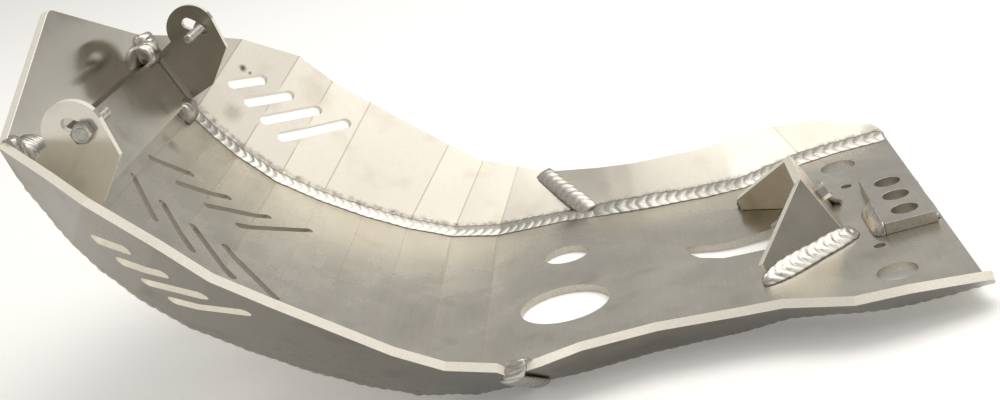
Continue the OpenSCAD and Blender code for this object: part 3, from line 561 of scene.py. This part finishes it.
wingSlots = {"count": 4, "width": 7.6, "short": 22.0, "step": 8.2, "pitch": 16.4, "turn": 51.0, "up": 41.5,
             "fall": 3.5, "start": 32.5, "roundSteps": 16, "through": 14}
wingMesh = {"bendHalf": 0.8, "steps": 3, "sootLevels": (0.0, 5.0, 8.0, 9.5, 11.0, 13.5),
            "shares": (0.15, 0.35, 0.55, 0.78, 1.0), "sootAndShade": 0.75, "sootReach": 8.0, "sootFade": 3.8,
            "foldShadeMark": 0.6, "edge": 0.45, "edgeAngle": 42}


def buildWing(name, side, rows, nodes, withSlots):
    t, gap = sheet["thickness"], sheet["gap"]
    n = len(rows)
    inner = []
    for i, (foot, top, bent) in enumerate(rows):
        up = (top - foot).normalized()
        inner.append((foot + Vector((0, gap, 0)) + up * gap, top, rowOut(rows, i) * t, bent))

    def across(i, f, v):
        a, b = inner[i], inner[min(i + 1, n - 1)]
        return blend(blend(a[0], b[0], f), blend(a[1], b[1], f), v), blend(a[2], b[2], f)

    # stations along the wing: some in each panel, and three at every bend to round it
    stations = []
    for i in range(n):
        stations.append((i, 0.0, i > 0 and inner[i][3]))
        if i < n - 1:
            length = max((inner[i + 1][1] - inner[i][1]).length, (inner[i + 1][0] - inner[i][0]).length, 2)
            edge = min(0.3, wingMesh["bendHalf"] / length)
            marks = [edge] if inner[i][3] else []
            marks += [k / (wingMesh["steps"] + 1) for k in range(1, wingMesh["steps"] + 1)]
            marks += [1 - edge] if inner[i + 1][3] else []
            stations += [(i, f, False) for f in marks]
    low, shares = wingMesh["sootLevels"], wingMesh["shares"]
    verts, sootAndShade = [], []
    for k, (i, f, isBend) in enumerate(stations):
        tall = blend((inner[i][1] - inner[i][0]).length,
                     (inner[min(i + 1, n - 1)][1] - inner[min(i + 1, n - 1)][0]).length, f)
        scale = min(1.0, 0.6 * tall / low[-1])
        rest = [low[-1] * scale + (tall - low[-1] * scale) * q for q in shares]
        for reach in [q * scale for q in low] + rest:
            v = min(1.0, reach / tall)
            p, out = across(i, f, v)
            if isBend:
                before = across(*stations[k - 1][:2], v)[0]
                after = across(*stations[k + 1][:2], v)[0]
                p = p * 0.5 + before * 0.25 + after * 0.25
            away = max(0.0, reach - wingMesh["sootReach"]) / wingMesh["sootFade"]
            verts.append((p, out))
            # the second mark paints shade along every bend
            sootAndShade.append((wingMesh["sootAndShade"] * max(0.0, 1 - away), wingMesh["foldShadeMark"] if isBend else 0.0))
    m = len(low) + len(shares)
    count = len(verts)
    pts = [toModel(p, side) for p, o in verts] + [toModel(p + o, side) for p, o in verts]
    # the outside is half as sooty as the inside, and its painted shade at the bends is half as dark
    marks = {"sootAndShade": [a for a, b in sootAndShade] + [0.5 * a for a, b in sootAndShade],
             "foldShadeMark": [b for a, b in sootAndShade] + [0.5 * b for a, b in sootAndShade]}
    faces, kinds = [], []

    def add(face, kind):
        faces.append(face)
        kinds.append(kind)
    for k in range(len(stations) - 1):
        for j in range(m - 1):
            a, b, c, d = k * m + j, k * m + j + 1, (k + 1) * m + j + 1, (k + 1) * m + j
            add((a, b, c, d), 0)
            add((count + d, count + c, count + b, count + a), 2)
        a, d = k * m, (k + 1) * m
        add((a, d, count + d, count + a), 1)
        a, d = k * m + m - 1, (k + 1) * m + m - 1
        add((d, a, count + a, count + d), 1)
    for j in range(m - 1):
        add((j, count + j, count + j + 1, j + 1), 1)
        e = (len(stations) - 1) * m + j
        add((e, e + 1, count + e + 1, count + e), 1)
    # inside faces take slot 0, cut edges slot 1, and outside faces slot 2, the darker copy: painted shade
    obj = newPiece(name, pts, faces, [rolledWing, laserEdgeWithHighlight, shadedSkin], kinds, marks)
    extras = []
    if withSlots:
        cutter = slotCutter(rows, side)
        cut = obj.modifiers.new("slots", "BOOLEAN")
        cut.object = cutter
        cut.solver = "EXACT"
        cut.material_mode = "TRANSFER"
        extras.append(cutter)
    softEdges(obj, wingMesh["edge"], 1, wingMesh["edgeAngle"])
    baked(obj, extras)
    finishPiece(obj, nodes)
    return obj


def slotCutter(rows, side):
    # four slots, each longer than the one before it, in the flat behind the seventh bend
    s = wingSlots
    row = len(rows) - 5
    feet = [r[0] for r in rows]
    top = foldTop(7)
    out = (feet[row + 2] - feet[row]).cross(top - feet[row]).normalized()
    run = out.cross((feet[row + 1] - feet[row - 1]).cross(out)).normalized()
    rise = out.cross(run)
    rise = rise if rise.z > 0 else -rise
    lay = -math.cos(rad(s["turn"])) * run + math.sin(rad(s["turn"])) * rise
    wide = out.cross(lay)
    pts, faces = [], []
    for k in range(s["count"]):
        base = feet[row] + rise * (s["up"] - k * s["fall"]) + run * (s["start"] - k * s["pitch"])
        length = s["short"] + k * s["step"]
        ring = []
        for centre, first in ((base, 90), (base + lay * length, -90)):
            for q in range(s["roundSteps"] + 1):
                a = rad(first + q * 180 / s["roundSteps"])
                ring.append(centre + (lay * math.cos(a) + wide * math.sin(a)) * s["width"] / 2)
        start, size = len(pts), len(ring)
        pts += [toModel(p - out * s["through"], side) for p in ring]
        pts += [toModel(p + out * s["through"], side) for p in ring]
        faces.append([start + q for q in range(size)])
        faces.append([start + size + q for q in reversed(range(size))])
        for q in range(size):
            r = (q + 1) % size
            faces.append([start + q, start + size + q, start + size + r, start + r])
    return newPiece("slotCutter", pts, faces, [laserEdgeWithHighlight], smooth=False)


for side, word in ((1, "right"), (-1, "left")):
    buildWing("frontWing_" + word, side, frontRows(side), ["front_wing_" + word], True)
    buildWing("rearWing_" + word, side, rearRows(side), ["rear_wing_" + word], False)
print("wings built")


# plates, brackets and block

plateCuts = {"edge": 0.75, "noseEdge": 0.45, "blockEdge": 0.9, "tabEdge": 1.0, "flangeEdge": 1.3,
             "creaseShade": 1.6, "creaseHalf": 0.11, "root": 0.8}


def slopeAt(x):
    # slope of the flat that lies at x
    if x > 0:
        return -rearRise
    for slopeHere, corner in zip(slopes, corners[1:]):
        if x > corner.x:
            return slopeHere
    return slopes[-1]


def plateFace(normal, centre):
    # 0 rolled face, 1 cut edge, 2 bend in a darker copy of the sheet: painted shade
    here = abs(normal.dot(overSlope(slopeAt(centre.x * 1000 - shiftX))))
    near = max(abs(normal.dot(overSlope(s))) for s in [-rearRise] + slopes)
    if here < 0.9:
        return 1
    return 0 if near > 0.99985 else 2


# faces turned along lower take slot 2, the darker copy, like the nose plate's edge in the groove: painted
# shade
def flatOrCut(direction, lower=None):
    def choose(normal, centre):
        if lower is not None and normal.dot(lower) > 0.9:
            return 2
        return 0 if abs(normal.dot(direction)) > 0.8 else 1
    return choose


def inCrease(centre):
    # the joint of nose plate, belly plate and bracket strip, where the light does not reach
    away = Vector((centre.x * 1000 - shiftX, 0, centre.z * 1000 - sheet["thickness"])) - head
    off = min(abs(away.dot(noseRun)), abs(away.dot(alongSlope(slopes[-1]))))
    return abs(centre.y) < plateCuts["creaseHalf"] and off < plateCuts["creaseShade"]


def copyOfNode(name, node, materials, choose, width, creaseShaded=False):
    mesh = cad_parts[node].data.copy()
    # the slots come first, because clearing them sets every face back to slot 0
    mesh.materials.clear()
    for mat in materials:
        mesh.materials.append(mat)
    work = bmesh.new()
    work.from_mesh(mesh)
    bmesh.ops.remove_doubles(work, verts=work.verts, dist=2e-6)
    if node == "nose_plate":
        # the root run below closes the joint, so no light comes through it
        for v in work.verts:
            if (v.co * 1000 - toModel(head) * 1000).dot(noseRun) < 1:
                v.co -= noseRun * plateCuts["root"] / 1000
    bmesh.ops.dissolve_limit(work, angle_limit=rad(0.5), verts=work.verts, edges=work.edges)
    work.normal_update()
    for f in work.faces:
        f.material_index = choose(f.normal, f.calc_center_median())
        f.smooth = True
    work.to_mesh(mesh)
    work.free()
    obj = bpy.data.objects.new(name, mesh)
    bpy.context.collection.objects.link(obj)
    softEdges(obj, width, 1 if len(materials) > 1 else -1)
    baked(obj)
    for poly in obj.data.polygons:
        # faces in the crease take slot 2, a darker copy of the sheet: painted shade
        if creaseShaded and inCrease(poly.center):
            poly.material_index = 2
    finishPiece(obj, [node])
    return obj


copyOfNode("bellyPlate", "main_plate", [rolledPlate, boredEdge, shadedBend], plateFace,
           plateCuts["edge"], True)
copyOfNode("nosePlate", "nose_plate", [rolledNose, laserEdgeWithHighlight, shadedFold], flatOrCut(noseOver, -noseRun),
           plateCuts["noseEdge"], True)
copyOfNode("drilledBlock", "rear_block", [rolledPlate, boredEdge], flatOrCut(overSlope(-rearRise)),
           plateCuts["blockEdge"])


def frontBracketFace(normal, centre):
    # 0 strip and left tab, 1 cut edge, 2 fold in a darker copy: painted shade, 3 right tab in a darker copy
    # of the sheet: painted shade
    if abs(normal.dot(alongSlope(slopes[-1]))) > 0.15:
        return 1
    if abs(normal.y) > 0.97:
        return 3 if centre.y > 0 else 0
    return 0 if abs(normal.y) < 0.1 else 2


bracketBend = {"webX": 74.0, "webHalf": 29.3, "flare": 35.0, "lean": 24.7, "narrow": 5.5, "webHeight": 43.6,
               "length": 61.5}


def inRear(v):
    # the rear section rises a little
    c, s = math.cos(rearRise), math.sin(rearRise)
    return Vector((v.x * c - v.z * s, v.y, v.x * s + v.z * c))


def flangeAxes():
    # along a flange, up in its face, and out on the plate, in the rear frame
    f = bracketBend
    fl, ln = rad(f["flare"]), rad(f["lean"])
    edge = Vector((-f["webHeight"] * math.sin(ln), f["narrow"], f["webHeight"] * math.cos(ln)))
    run = Vector((-math.cos(fl), -math.sin(fl), 0))
    lean = math.atan2(math.sin(fl) * -edge.x + math.cos(fl) * f["narrow"], edge.z)
    up = Vector((-math.sin(fl) * math.sin(lean), math.cos(fl) * math.sin(lean), math.cos(lean)))
    return run, up, Vector((math.sin(fl), -math.cos(fl), 0))


def rearBracketFace(normal, centre):
    # 0 near flange, darker copy: painted shade; 1 cut edge; 2 web and far flange, lighter copy: painted
    #                             light
    run, up, out = flangeAxes()
    face = inRear(run.cross(up)).normalized()
    lean = rad(bracketBend["lean"])
    web = inRear(Vector((math.cos(lean), 0, math.sin(lean))))
    other = Vector((face.x, -face.y, face.z))
    if max(abs(normal.dot(q)) for q in (face, other, web)) < 0.99:
        return 1
    return 0 if centre.y < -0.024 else 2


copyOfNode("frontBracket", "front_bracket", [rolledTab, laserEdgeWithHighlight, shadedFold, shadedTab], frontBracketFace,
           plateCuts["tabEdge"], True)
copyOfNode("rearBracket", "rear_bracket", [shadedFlange, laserEdgeWithHighlight, litFlange], rearBracketFace,
           plateCuts["flangeEdge"])
print("plates, brackets and block built")


# weld beads

beads = {"frontPitch": 6.2, "rearPitch": 6.8, "flangePitch": 6.6, "relief": 0.15, "across": 12,
         "rowsPerRipple": 10, "clear": 0.12, "climb": 1.08, "waver": 0.13, "waverLong": 22, "luck": 0.07,
         "mottle": 2.6}


def pathPoint(path, runs, s):
    # place and leg directions at distance s along a path
    for k in range(len(path) - 1):
        if s <= runs[k + 1] or k == len(path) - 2:
            t = (s - runs[k]) / max(runs[k + 1] - runs[k], 1e-9)
            return (blend(path[k][0], path[k + 1][0], t), blend(path[k][1], path[k + 1][1], t).normalized(),
                    blend(path[k][2], path[k + 1][2], t).normalized())


def cornerSection(p, u, v, t, size, grow, climb=1.0):
    # bead in a corner, from the end of one leg to the end of the other
    a = t * math.pi / 2
    ca, sa = math.cos(a), math.sin(a)
    r = size * (0.5 / (ca + sa) + 0.5) * grow
    return p + u * (ca * r + beads["clear"]) + v * (sa * r * climb + beads["clear"])


def seamSection(p, u, v, t, size, grow):
    # the bead climbs further up the wing than it runs out on the plate
    return cornerSection(p, u, v, t, size, grow, beads["climb"])


def ridgeSection(p, u, v, t, size, grow):
    # bead lying on a face: u is across and v is up, size is (width, height)
    a = (1 - t) * math.pi
    return p + u * (size[0] / 2 * math.cos(a) * (0.5 + grow / 2)) + v * (size[1] * math.sin(a) * grow)


def sweepBead(path, section, size, pitch, start, stop, side, lag=0.55, endSize=0.5, endLength=0.9,
              swell=(1, 1), dirtAndShade=0.8, root=0.05):
    # rows of one bead: crescents with sharp valleys, each a little different from its neighbours
    isRidge = isinstance(size, tuple)
    runs = [0.0]
    for k in range(len(path) - 1):
        runs.append(runs[-1] + (path[k + 1][0] - path[k][0]).length)
    stop = runs[-1] + stop if stop <= 0 else stop
    stop = min(stop, runs[-1])
    step = pitch / beads["rowsPerRipple"]
    count = max(6, int((stop - start) / step))
    m = beads["across"]
    wide = size[0] / 2 if isRidge else size
    luck = [random.random() for _ in range(int((stop - start) / pitch) + 6)]
    verts, sootAndShade = [], []
    for i in range(count + 1):
        s = start + (stop - start) * i / count
        p, u, v = pathPoint(path, runs, s)
        edge = min(s - start, stop - s)
        ease = wide * endLength
        taper = 1.0
        if edge <= ease:
            taper = endSize + (1 - endSize) * math.sqrt(max(0, 1 - (1 - edge / ease) ** 2))
        taper *= 1 + beads["waver"] * noise.noise(Vector((s / beads["waverLong"], side * 5.0, stop)))
        taper *= blend(swell[0], swell[1], s / runs[-1])
        for j in range(m + 1):
            t = j / m
            c = abs(2 * t - 1)
            phase = (s - start) / pitch + lag * wide / pitch * (c ** 1.6)
            k = int(phase)
            wave = abs(math.sin(math.pi * phase)) ** 0.6
            fine = 0.07 * abs(math.sin(math.pi * phase * 4 + 0.4))
            ripple = beads["relief"] * (wave - 0.62 + fine) * (0.45 + 0.55 * (1 - c))
            grow = 1 + ripple + beads["luck"] * (luck[k] - 0.5)
            q = section(p, u, v, t, size, grow * taper)
            verts.append(toModel(q, side))
            rag = bumpy(q + Vector((3.1, 7.7, 1.3)), beads["mottle"])
            # the valleys between the ripples are darkened: painted shade; the rims carry real soot
            valleyShade = (1 - wave) ** 2.2 * 0.75
            rim = max(0, (c - 0.72) / 0.28) * (0.25 + 1.1 * max(0, rag - 0.42))
            sootAndShade.append(min(1, dirtAndShade * (valleyShade + rim * 0.7)))
        # the last point of a row closes the section, in the corner or below the ridge
        verts.append(toModel(p - v * root if isRidge else p + (u + v) * beads["clear"], side))
        sootAndShade.append(0)
    w = m + 2
    faces = []
    for i in range(count):
        for j in range(w):
            a, b = i * w + j, i * w + (j + 1) % w
            faces.append((a, b, b + w, a + w))
    faces.append([j for j in range(w)])
    faces.append([count * w + j for j in reversed(range(w))])
    return verts, faces, sootAndShade


def beadPiece(name, parts, node):
    verts, faces, sootAndShade = [], [], []
    for v, f, s in parts:
        base = len(verts)
        # nothing goes below the floor that the plate rests on
        verts += [(q.x, q.y, max(q.z, 0.0)) for q in v]
        sootAndShade += s
        faces += [[base + q for q in face] for face in f]
    obj = newPiece(name, verts, faces, [weldBright], marks={"sootAndShade": sootAndShade})
    finishPiece(obj, [node])
    return obj


def seamPath(rows):
    return [(foot + Vector((0, sheet["gap"], 0)), Vector((0, -1, 0)), (top - foot).normalized())
            for foot, top, bent in rows]


def plateDown(rows, i):
    a, b = rows[max(0, i - 1)][0], rows[min(len(rows) - 1, i + 1)][0]
    s = math.atan2(b.z - a.z, -(b.x - a.x))
    return Vector((-math.sin(s), 0, -math.cos(s)))


def edgePath(rows):
    return [(rows[i][0] + Vector((0, sheet["gap"] / 2, 0)) - 0.2 * plateDown(rows, i), plateDown(rows, i),
             rowOut(rows, i)) for i in range(len(rows))]


seamLeg = 6.8
edgeLeg = sheet["thickness"] - 0.4
for side, word in ((1, "right"), (-1, "left")):
    front, rear = frontRows(side), rearRows(side)
    tail = rearWing["over"][side] + 0.5
    beyond = seamPath([rear[-2]])[0]
    beyond = (blend(seamPath([front[0]])[0][0], beyond[0], 0.25), beyond[1], beyond[2])
    bead = sweepBead(seamPath(front)[::-1] + [beyond], seamSection, seamLeg, beads["frontPitch"], 35.0, -0.5,
                     side, swell=(0.64, 1.0), dirtAndShade=0.6)
    beadPiece("frontSeamWeld_" + word, [bead], "front_seam_weld_" + word)
    bead = sweepBead(seamPath(rear), seamSection, seamLeg, beads["rearPitch"], tail, -0.5, side,
                     swell=(1.0, 1.1), dirtAndShade=0.6)
    beadPiece("rearSeamWeld_" + word, [bead], "rear_seam_weld_" + word)
    bead = sweepBead(edgePath(front)[::-1], cornerSection, edgeLeg, beads["frontPitch"], 4.0, -0.5, side)
    beadPiece("frontEdgeWeld_" + word, [bead], "front_edge_weld_" + word)
    bead = sweepBead(edgePath(rear), cornerSection, edgeLeg, beads["rearPitch"], tail, -0.5, side)
    beadPiece("rearEdgeWeld_" + word, [bead], "rear_edge_weld_" + word)
print("seam welds built")

# sizes are (width, height); back shifts the two ends of the inside bead along the wing
jointBead = {"inside": (14.0, 2.5), "outside": (12.6, 3.4), "capWidth": 13.3, "capHeight": {1: 2.4, -1: 3.6},
             "pitches": (5.6, 6.2, 3.6), "back": {1: (0, -3.2), -1: (2, 5)}, "lift": {1: 1.1, -1: 1.4},
             "clear": 0.5, "starts": (3, 5), "below": 0.5, "capBelow": 1.2, "capFrom": 2.5, "capTo": 1.5,
             "capTurn": 0.4}


def jointWeld(side, word):
    front, rear = frontRows(side), rearRows(side)
    low, high = jointLine(side)
    run = (high - low).normalized()
    out = (rowOut(rear, len(rear) - 1) + rowOut(front, 0)).normalized()
    over = run.cross(out).normalized()
    t = sheet["thickness"] + jointBead["clear"]
    up = -out * jointBead["lift"][side]
    back = jointBead["back"][side]
    foot = [low + run * q for q in jointBead["starts"]]
    top = high - run * jointBead["below"]
    inside = [(foot[0] - over * back[0] + up, over, -out), (top - over * back[1] + up, over, -out)]
    outside = [(foot[1] + out * t, over, out), (top + out * t, over, out)]
    # the bead is carried over the upper edge from the inside to the outside
    tip = high - run * jointBead["capBelow"]
    cap = [(tip - over * back[1] - out * jointBead["capFrom"], over, run),
           (tip - over * back[1] * jointBead["capTurn"] + out * (t + jointBead["capTo"]), over, run)]
    capSize = (jointBead["capWidth"], jointBead["capHeight"][side])
    pitches = jointBead["pitches"]
    beadPiece("jointWeld_" + word, [
        sweepBead(inside, ridgeSection, jointBead["inside"], pitches[0], 0, 0, side, 0.9, dirtAndShade=0.5),
        sweepBead(outside, ridgeSection, jointBead["outside"], pitches[1], 0, 0, side, 0.5, dirtAndShade=0.5),
        sweepBead(cap, ridgeSection, capSize, pitches[2], 0, 0, side, 0.6, dirtAndShade=0.4)], "joint_weld_" + word)


# root is how far a bead reaches down into the joint that it lies over
bracketBeads = {"tabHalf": 127.5, "strip": 37.0, "noseSize": (18.5, 8.0), "nosePitch": 3.2, "noseRoot": 5.0,
                "noseUp": 9.5, "noseLong": 24, "end": 1.5, "cornerSize": (17.0, 6.8), "cornerPitch": 4.2,
                "cornerRoot": 3.0, "cornerIn": 2.5, "cornerLift": 0.3, "cornerUp": 1.0, "tabSize": (18, 7.4),
                "tabPitch": 4.4, "tabRoot": 3.0, "tabIn": 9, "tabBack": 3.5, "tabEnds": (-14, 5.5)}


def noseWeld(side, word):
    b = bracketBeads
    low = head + (sheet["thickness"] + sheet["gap"]) * overSlope(slopes[-1])
    high = head + b["noseUp"] * noseRun
    across = (high - low).normalized()
    mid = (low + high) / 2
    up = Vector((0, 1, 0)).cross(across)
    shell = [(mid + Vector((0, b["tabHalf"] - y, 0)), across, up) for y in (b["noseLong"], b["end"])]
    lift = noseOver * b["cornerLift"] + noseRun * b["cornerUp"]
    low = head + Vector((0, nosePlate["half"] - b["cornerIn"], 0)) + lift
    high = noseCorner + Vector((0, -b["end"], 0)) + lift
    run = (high - low).normalized()
    up = (noseOver + Vector((0, -0.5, 0))).normalized()
    up = (up - run * up.dot(run)).normalized()
    corner = [(low, run.cross(up), up), (high, run.cross(up), up)]
    beadPiece("noseWeld_" + word, [
        sweepBead(shell, ridgeSection, b["noseSize"], b["nosePitch"], 0, 0, side, 1.1, dirtAndShade=0.4,
                  root=b["noseRoot"]),
        sweepBead(corner, ridgeSection, b["cornerSize"], b["cornerPitch"], 0, 0, side, 0.9, dirtAndShade=0.4,
                  root=b["cornerRoot"])], "nose_weld_" + word)


def tabWeld(side, word):
    b = bracketBeads
    along, over = -alongSlope(slopes[-1]), overSlope(slopes[-1])
    place = head + (b["strip"] + b["tabBack"]) * along + over + Vector((0, b["tabHalf"] - b["tabIn"], 0))
    path = [(place + Vector((0, y, 0)), along, over) for y in b["tabEnds"]]
    beadPiece("tabWeld_" + word, [
        sweepBead(path, ridgeSection, b["tabSize"], b["tabPitch"], 0, 0, side, 1.0, dirtAndShade=0.4,
                  root=b["tabRoot"])], "tab_weld_" + word)


flangeBead = {"leg": 7.9, "start": -6.0, "end": 6.0}


def flangeWeld(side, word):
    run, up, out = flangeAxes()
    start = Vector((bracketBend["webX"], -bracketBend["webHalf"], 0.1)) + 0.25 * out
    stops = (flangeBead["start"], 20, 40, 60, bracketBend["length"] + flangeBead["end"])
    path = [(inRear(start + run * q), inRear(out), inRear(up)) for q in stops]
    bead = sweepBead(path, cornerSection, flangeBead["leg"], beads["flangePitch"], 0, 0, side, 0.7,
                     endSize=0.2, endLength=1.9, dirtAndShade=0.6)
    beadPiece("flangeWeld_" + word, [bead], "flange_weld_" + word)


for side, word in ((1, "right"), (-1, "left")):
    jointWeld(side, word)
    noseWeld(side, word)
    tabWeld(side, word)
# the flanges are drawn on the left, where Y is negative, and mirrored to the right
flangeWeld(1, "left")
flangeWeld(-1, "right")

block = {"length": 29.8, "back": 3.4, "frontLeg": 7.37, "rearLeg": 3.23, "frontYs": (-41, -20, 3),
         "rearYs": (38, 0, -36), "clear": 0.1}
blockRear = belly["rear"] - block["back"]


def blockWeld(word, x, ys, leg, way, pitch):
    legs = inRear(Vector((way, 0, 0))), inRear(Vector((0, 0, 1)))
    path = [(inRear(Vector((x, y, 0.1))), *legs) for y in ys]
    bead = sweepBead(path, cornerSection, leg, pitch, 0, 0, 1, 0.3, dirtAndShade=0.25)
    beadPiece("block" + word.capitalize() + "Weld", [bead], "block_" + word + "_weld")


blockFront = blockRear - block["length"]
blockWeld("front", blockFront - block["clear"], block["frontYs"], block["frontLeg"], -1, 3.6)
blockWeld("rear", blockRear + block["clear"], block["rearYs"], block["rearLeg"], 1, 4.4)
print("bracket and block welds built")


# bolts

bolt = {"thread": 6.0, "minor": 4.9, "pitch": 1.0, "flats": 10.0, "head": 6.4, "plain": 2.2, "tip": 1.1,
        "around": 48, "perTurn": 8, "length": 38.0, "shortLength": 34.0,
        "dish": [(0.1, 0.35), (0.62, 0.32), (0.7, 0.02), (0.9, 0)]}


def buildBolt(name, node, origin, axis, length):
    # chamfered hexagon head over a rolled thread; axis points from the thread to the head
    around, half, h = bolt["around"], bolt["flats"] / 2, bolt["head"]
    rings = []

    def hexRadius(a):
        q = (a + math.pi / 6) % (math.pi / 3) - math.pi / 6
        return half / math.cos(q)
    angles = [2 * math.pi * k / around for k in range(around)]
    # dished middle and rim of the top, then chamfer, flats and washer face
    for share, drop in bolt["dish"]:
        rings.append([(half * share, a, h - drop) for a in angles])
    for back, drop, steep in ((0.05, 0.12, 0.55), (0, 0.25, 0.58)):
        rings.append([(hexRadius(a) - back, a, h - drop - (hexRadius(a) - half * 0.9) * steep)
                      for a in angles])
    rings.append([(hexRadius(a), a, 0.45) for a in angles])
    rings.append([(hexRadius(a) - 0.12, a, 0.3) for a in angles])
    rings.append([(half * 0.93, a, 0.28) for a in angles])
    rings.append([(half * 0.92, a, 0.0) for a in angles])
    rings.append([(bolt["thread"] / 2, a, 0.0) for a in angles])
    step = bolt["pitch"] / bolt["perTurn"]
    count = int((length - 0.2) / step)
    for i in range(1, count + 1):
        z = -i * step
        ring = []
        for a in angles:
            turn = (z / bolt["pitch"] - a / (2 * math.pi)) % 1.0
            wave = min(1, abs(turn * 2 - 1) * 1.25)
            r = blend(bolt["minor"] / 2, bolt["thread"] / 2, wave)
            end = length + z
            r = min(r, bolt["thread"] / 2 - max(0, bolt["tip"] - end) * 0.75)
            if z > -bolt["plain"]:
                r = bolt["thread"] / 2
            ring.append((r, a, z))
        rings.append(ring)
    rings.append([(bolt["thread"] / 2 - bolt["tip"], a, -length) for a in angles])
    rings.append([(0.4, a, -length) for a in angles])
    axis = axis.normalized()
    sideways = axis.orthogonal().normalized()
    if abs(axis.y) > 0.9:
        sideways = Vector((math.cos(0.35), 0, math.sin(0.35)))
    third = axis.cross(sideways)
    pts = [(origin + (sideways * math.cos(a) + third * math.sin(a)) * r + axis * z) / 1000
           for ring in rings for r, a, z in ring]
    faces = []
    for i in range(len(rings) - 1):
        for j in range(around):
            k = (j + 1) % around
            faces.append((i * around + j, (i + 1) * around + j, (i + 1) * around + k, i * around + k))
    faces.append([j for j in range(around)])
    faces.append([(len(rings) - 1) * around + j for j in reversed(range(around))])
    obj = newPiece(name, pts, faces, [zincBolt])
    obj.data.set_sharp_from_angle(angle=rad(32))
    finishPiece(obj, [node])


def boxMiddle(node):
    low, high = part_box(node)
    return Vector([(a + b) * 500 for a, b in zip(low, high)])


for side, word in ((1, "right"), (-1, "left")):
    middle = boxMiddle("tab_bolt_" + word)
    seat = Vector((middle.x, side * (bracketBeads["tabHalf"] + 0.05), middle.z))
    buildBolt("tabBolt_" + word, "tab_bolt_" + word, seat, Vector((0, side, 0)), bolt["length"])
webUp = 0.49 * bracketBend["webHeight"]
lean = rad(bracketBend["lean"])
seat = Vector((bracketBend["webX"] + 0.05 * math.cos(lean) - webUp * math.sin(lean), 0,
               0.3 + 0.05 * math.sin(lean) + webUp * math.cos(lean)))
buildBolt("bracketBolt", "bracket_bolt", toModel(inRear(seat)) * 1000,
          inRear(Vector((math.cos(lean), 0, math.sin(lean)))), bolt["shortLength"])
print("bolts built")
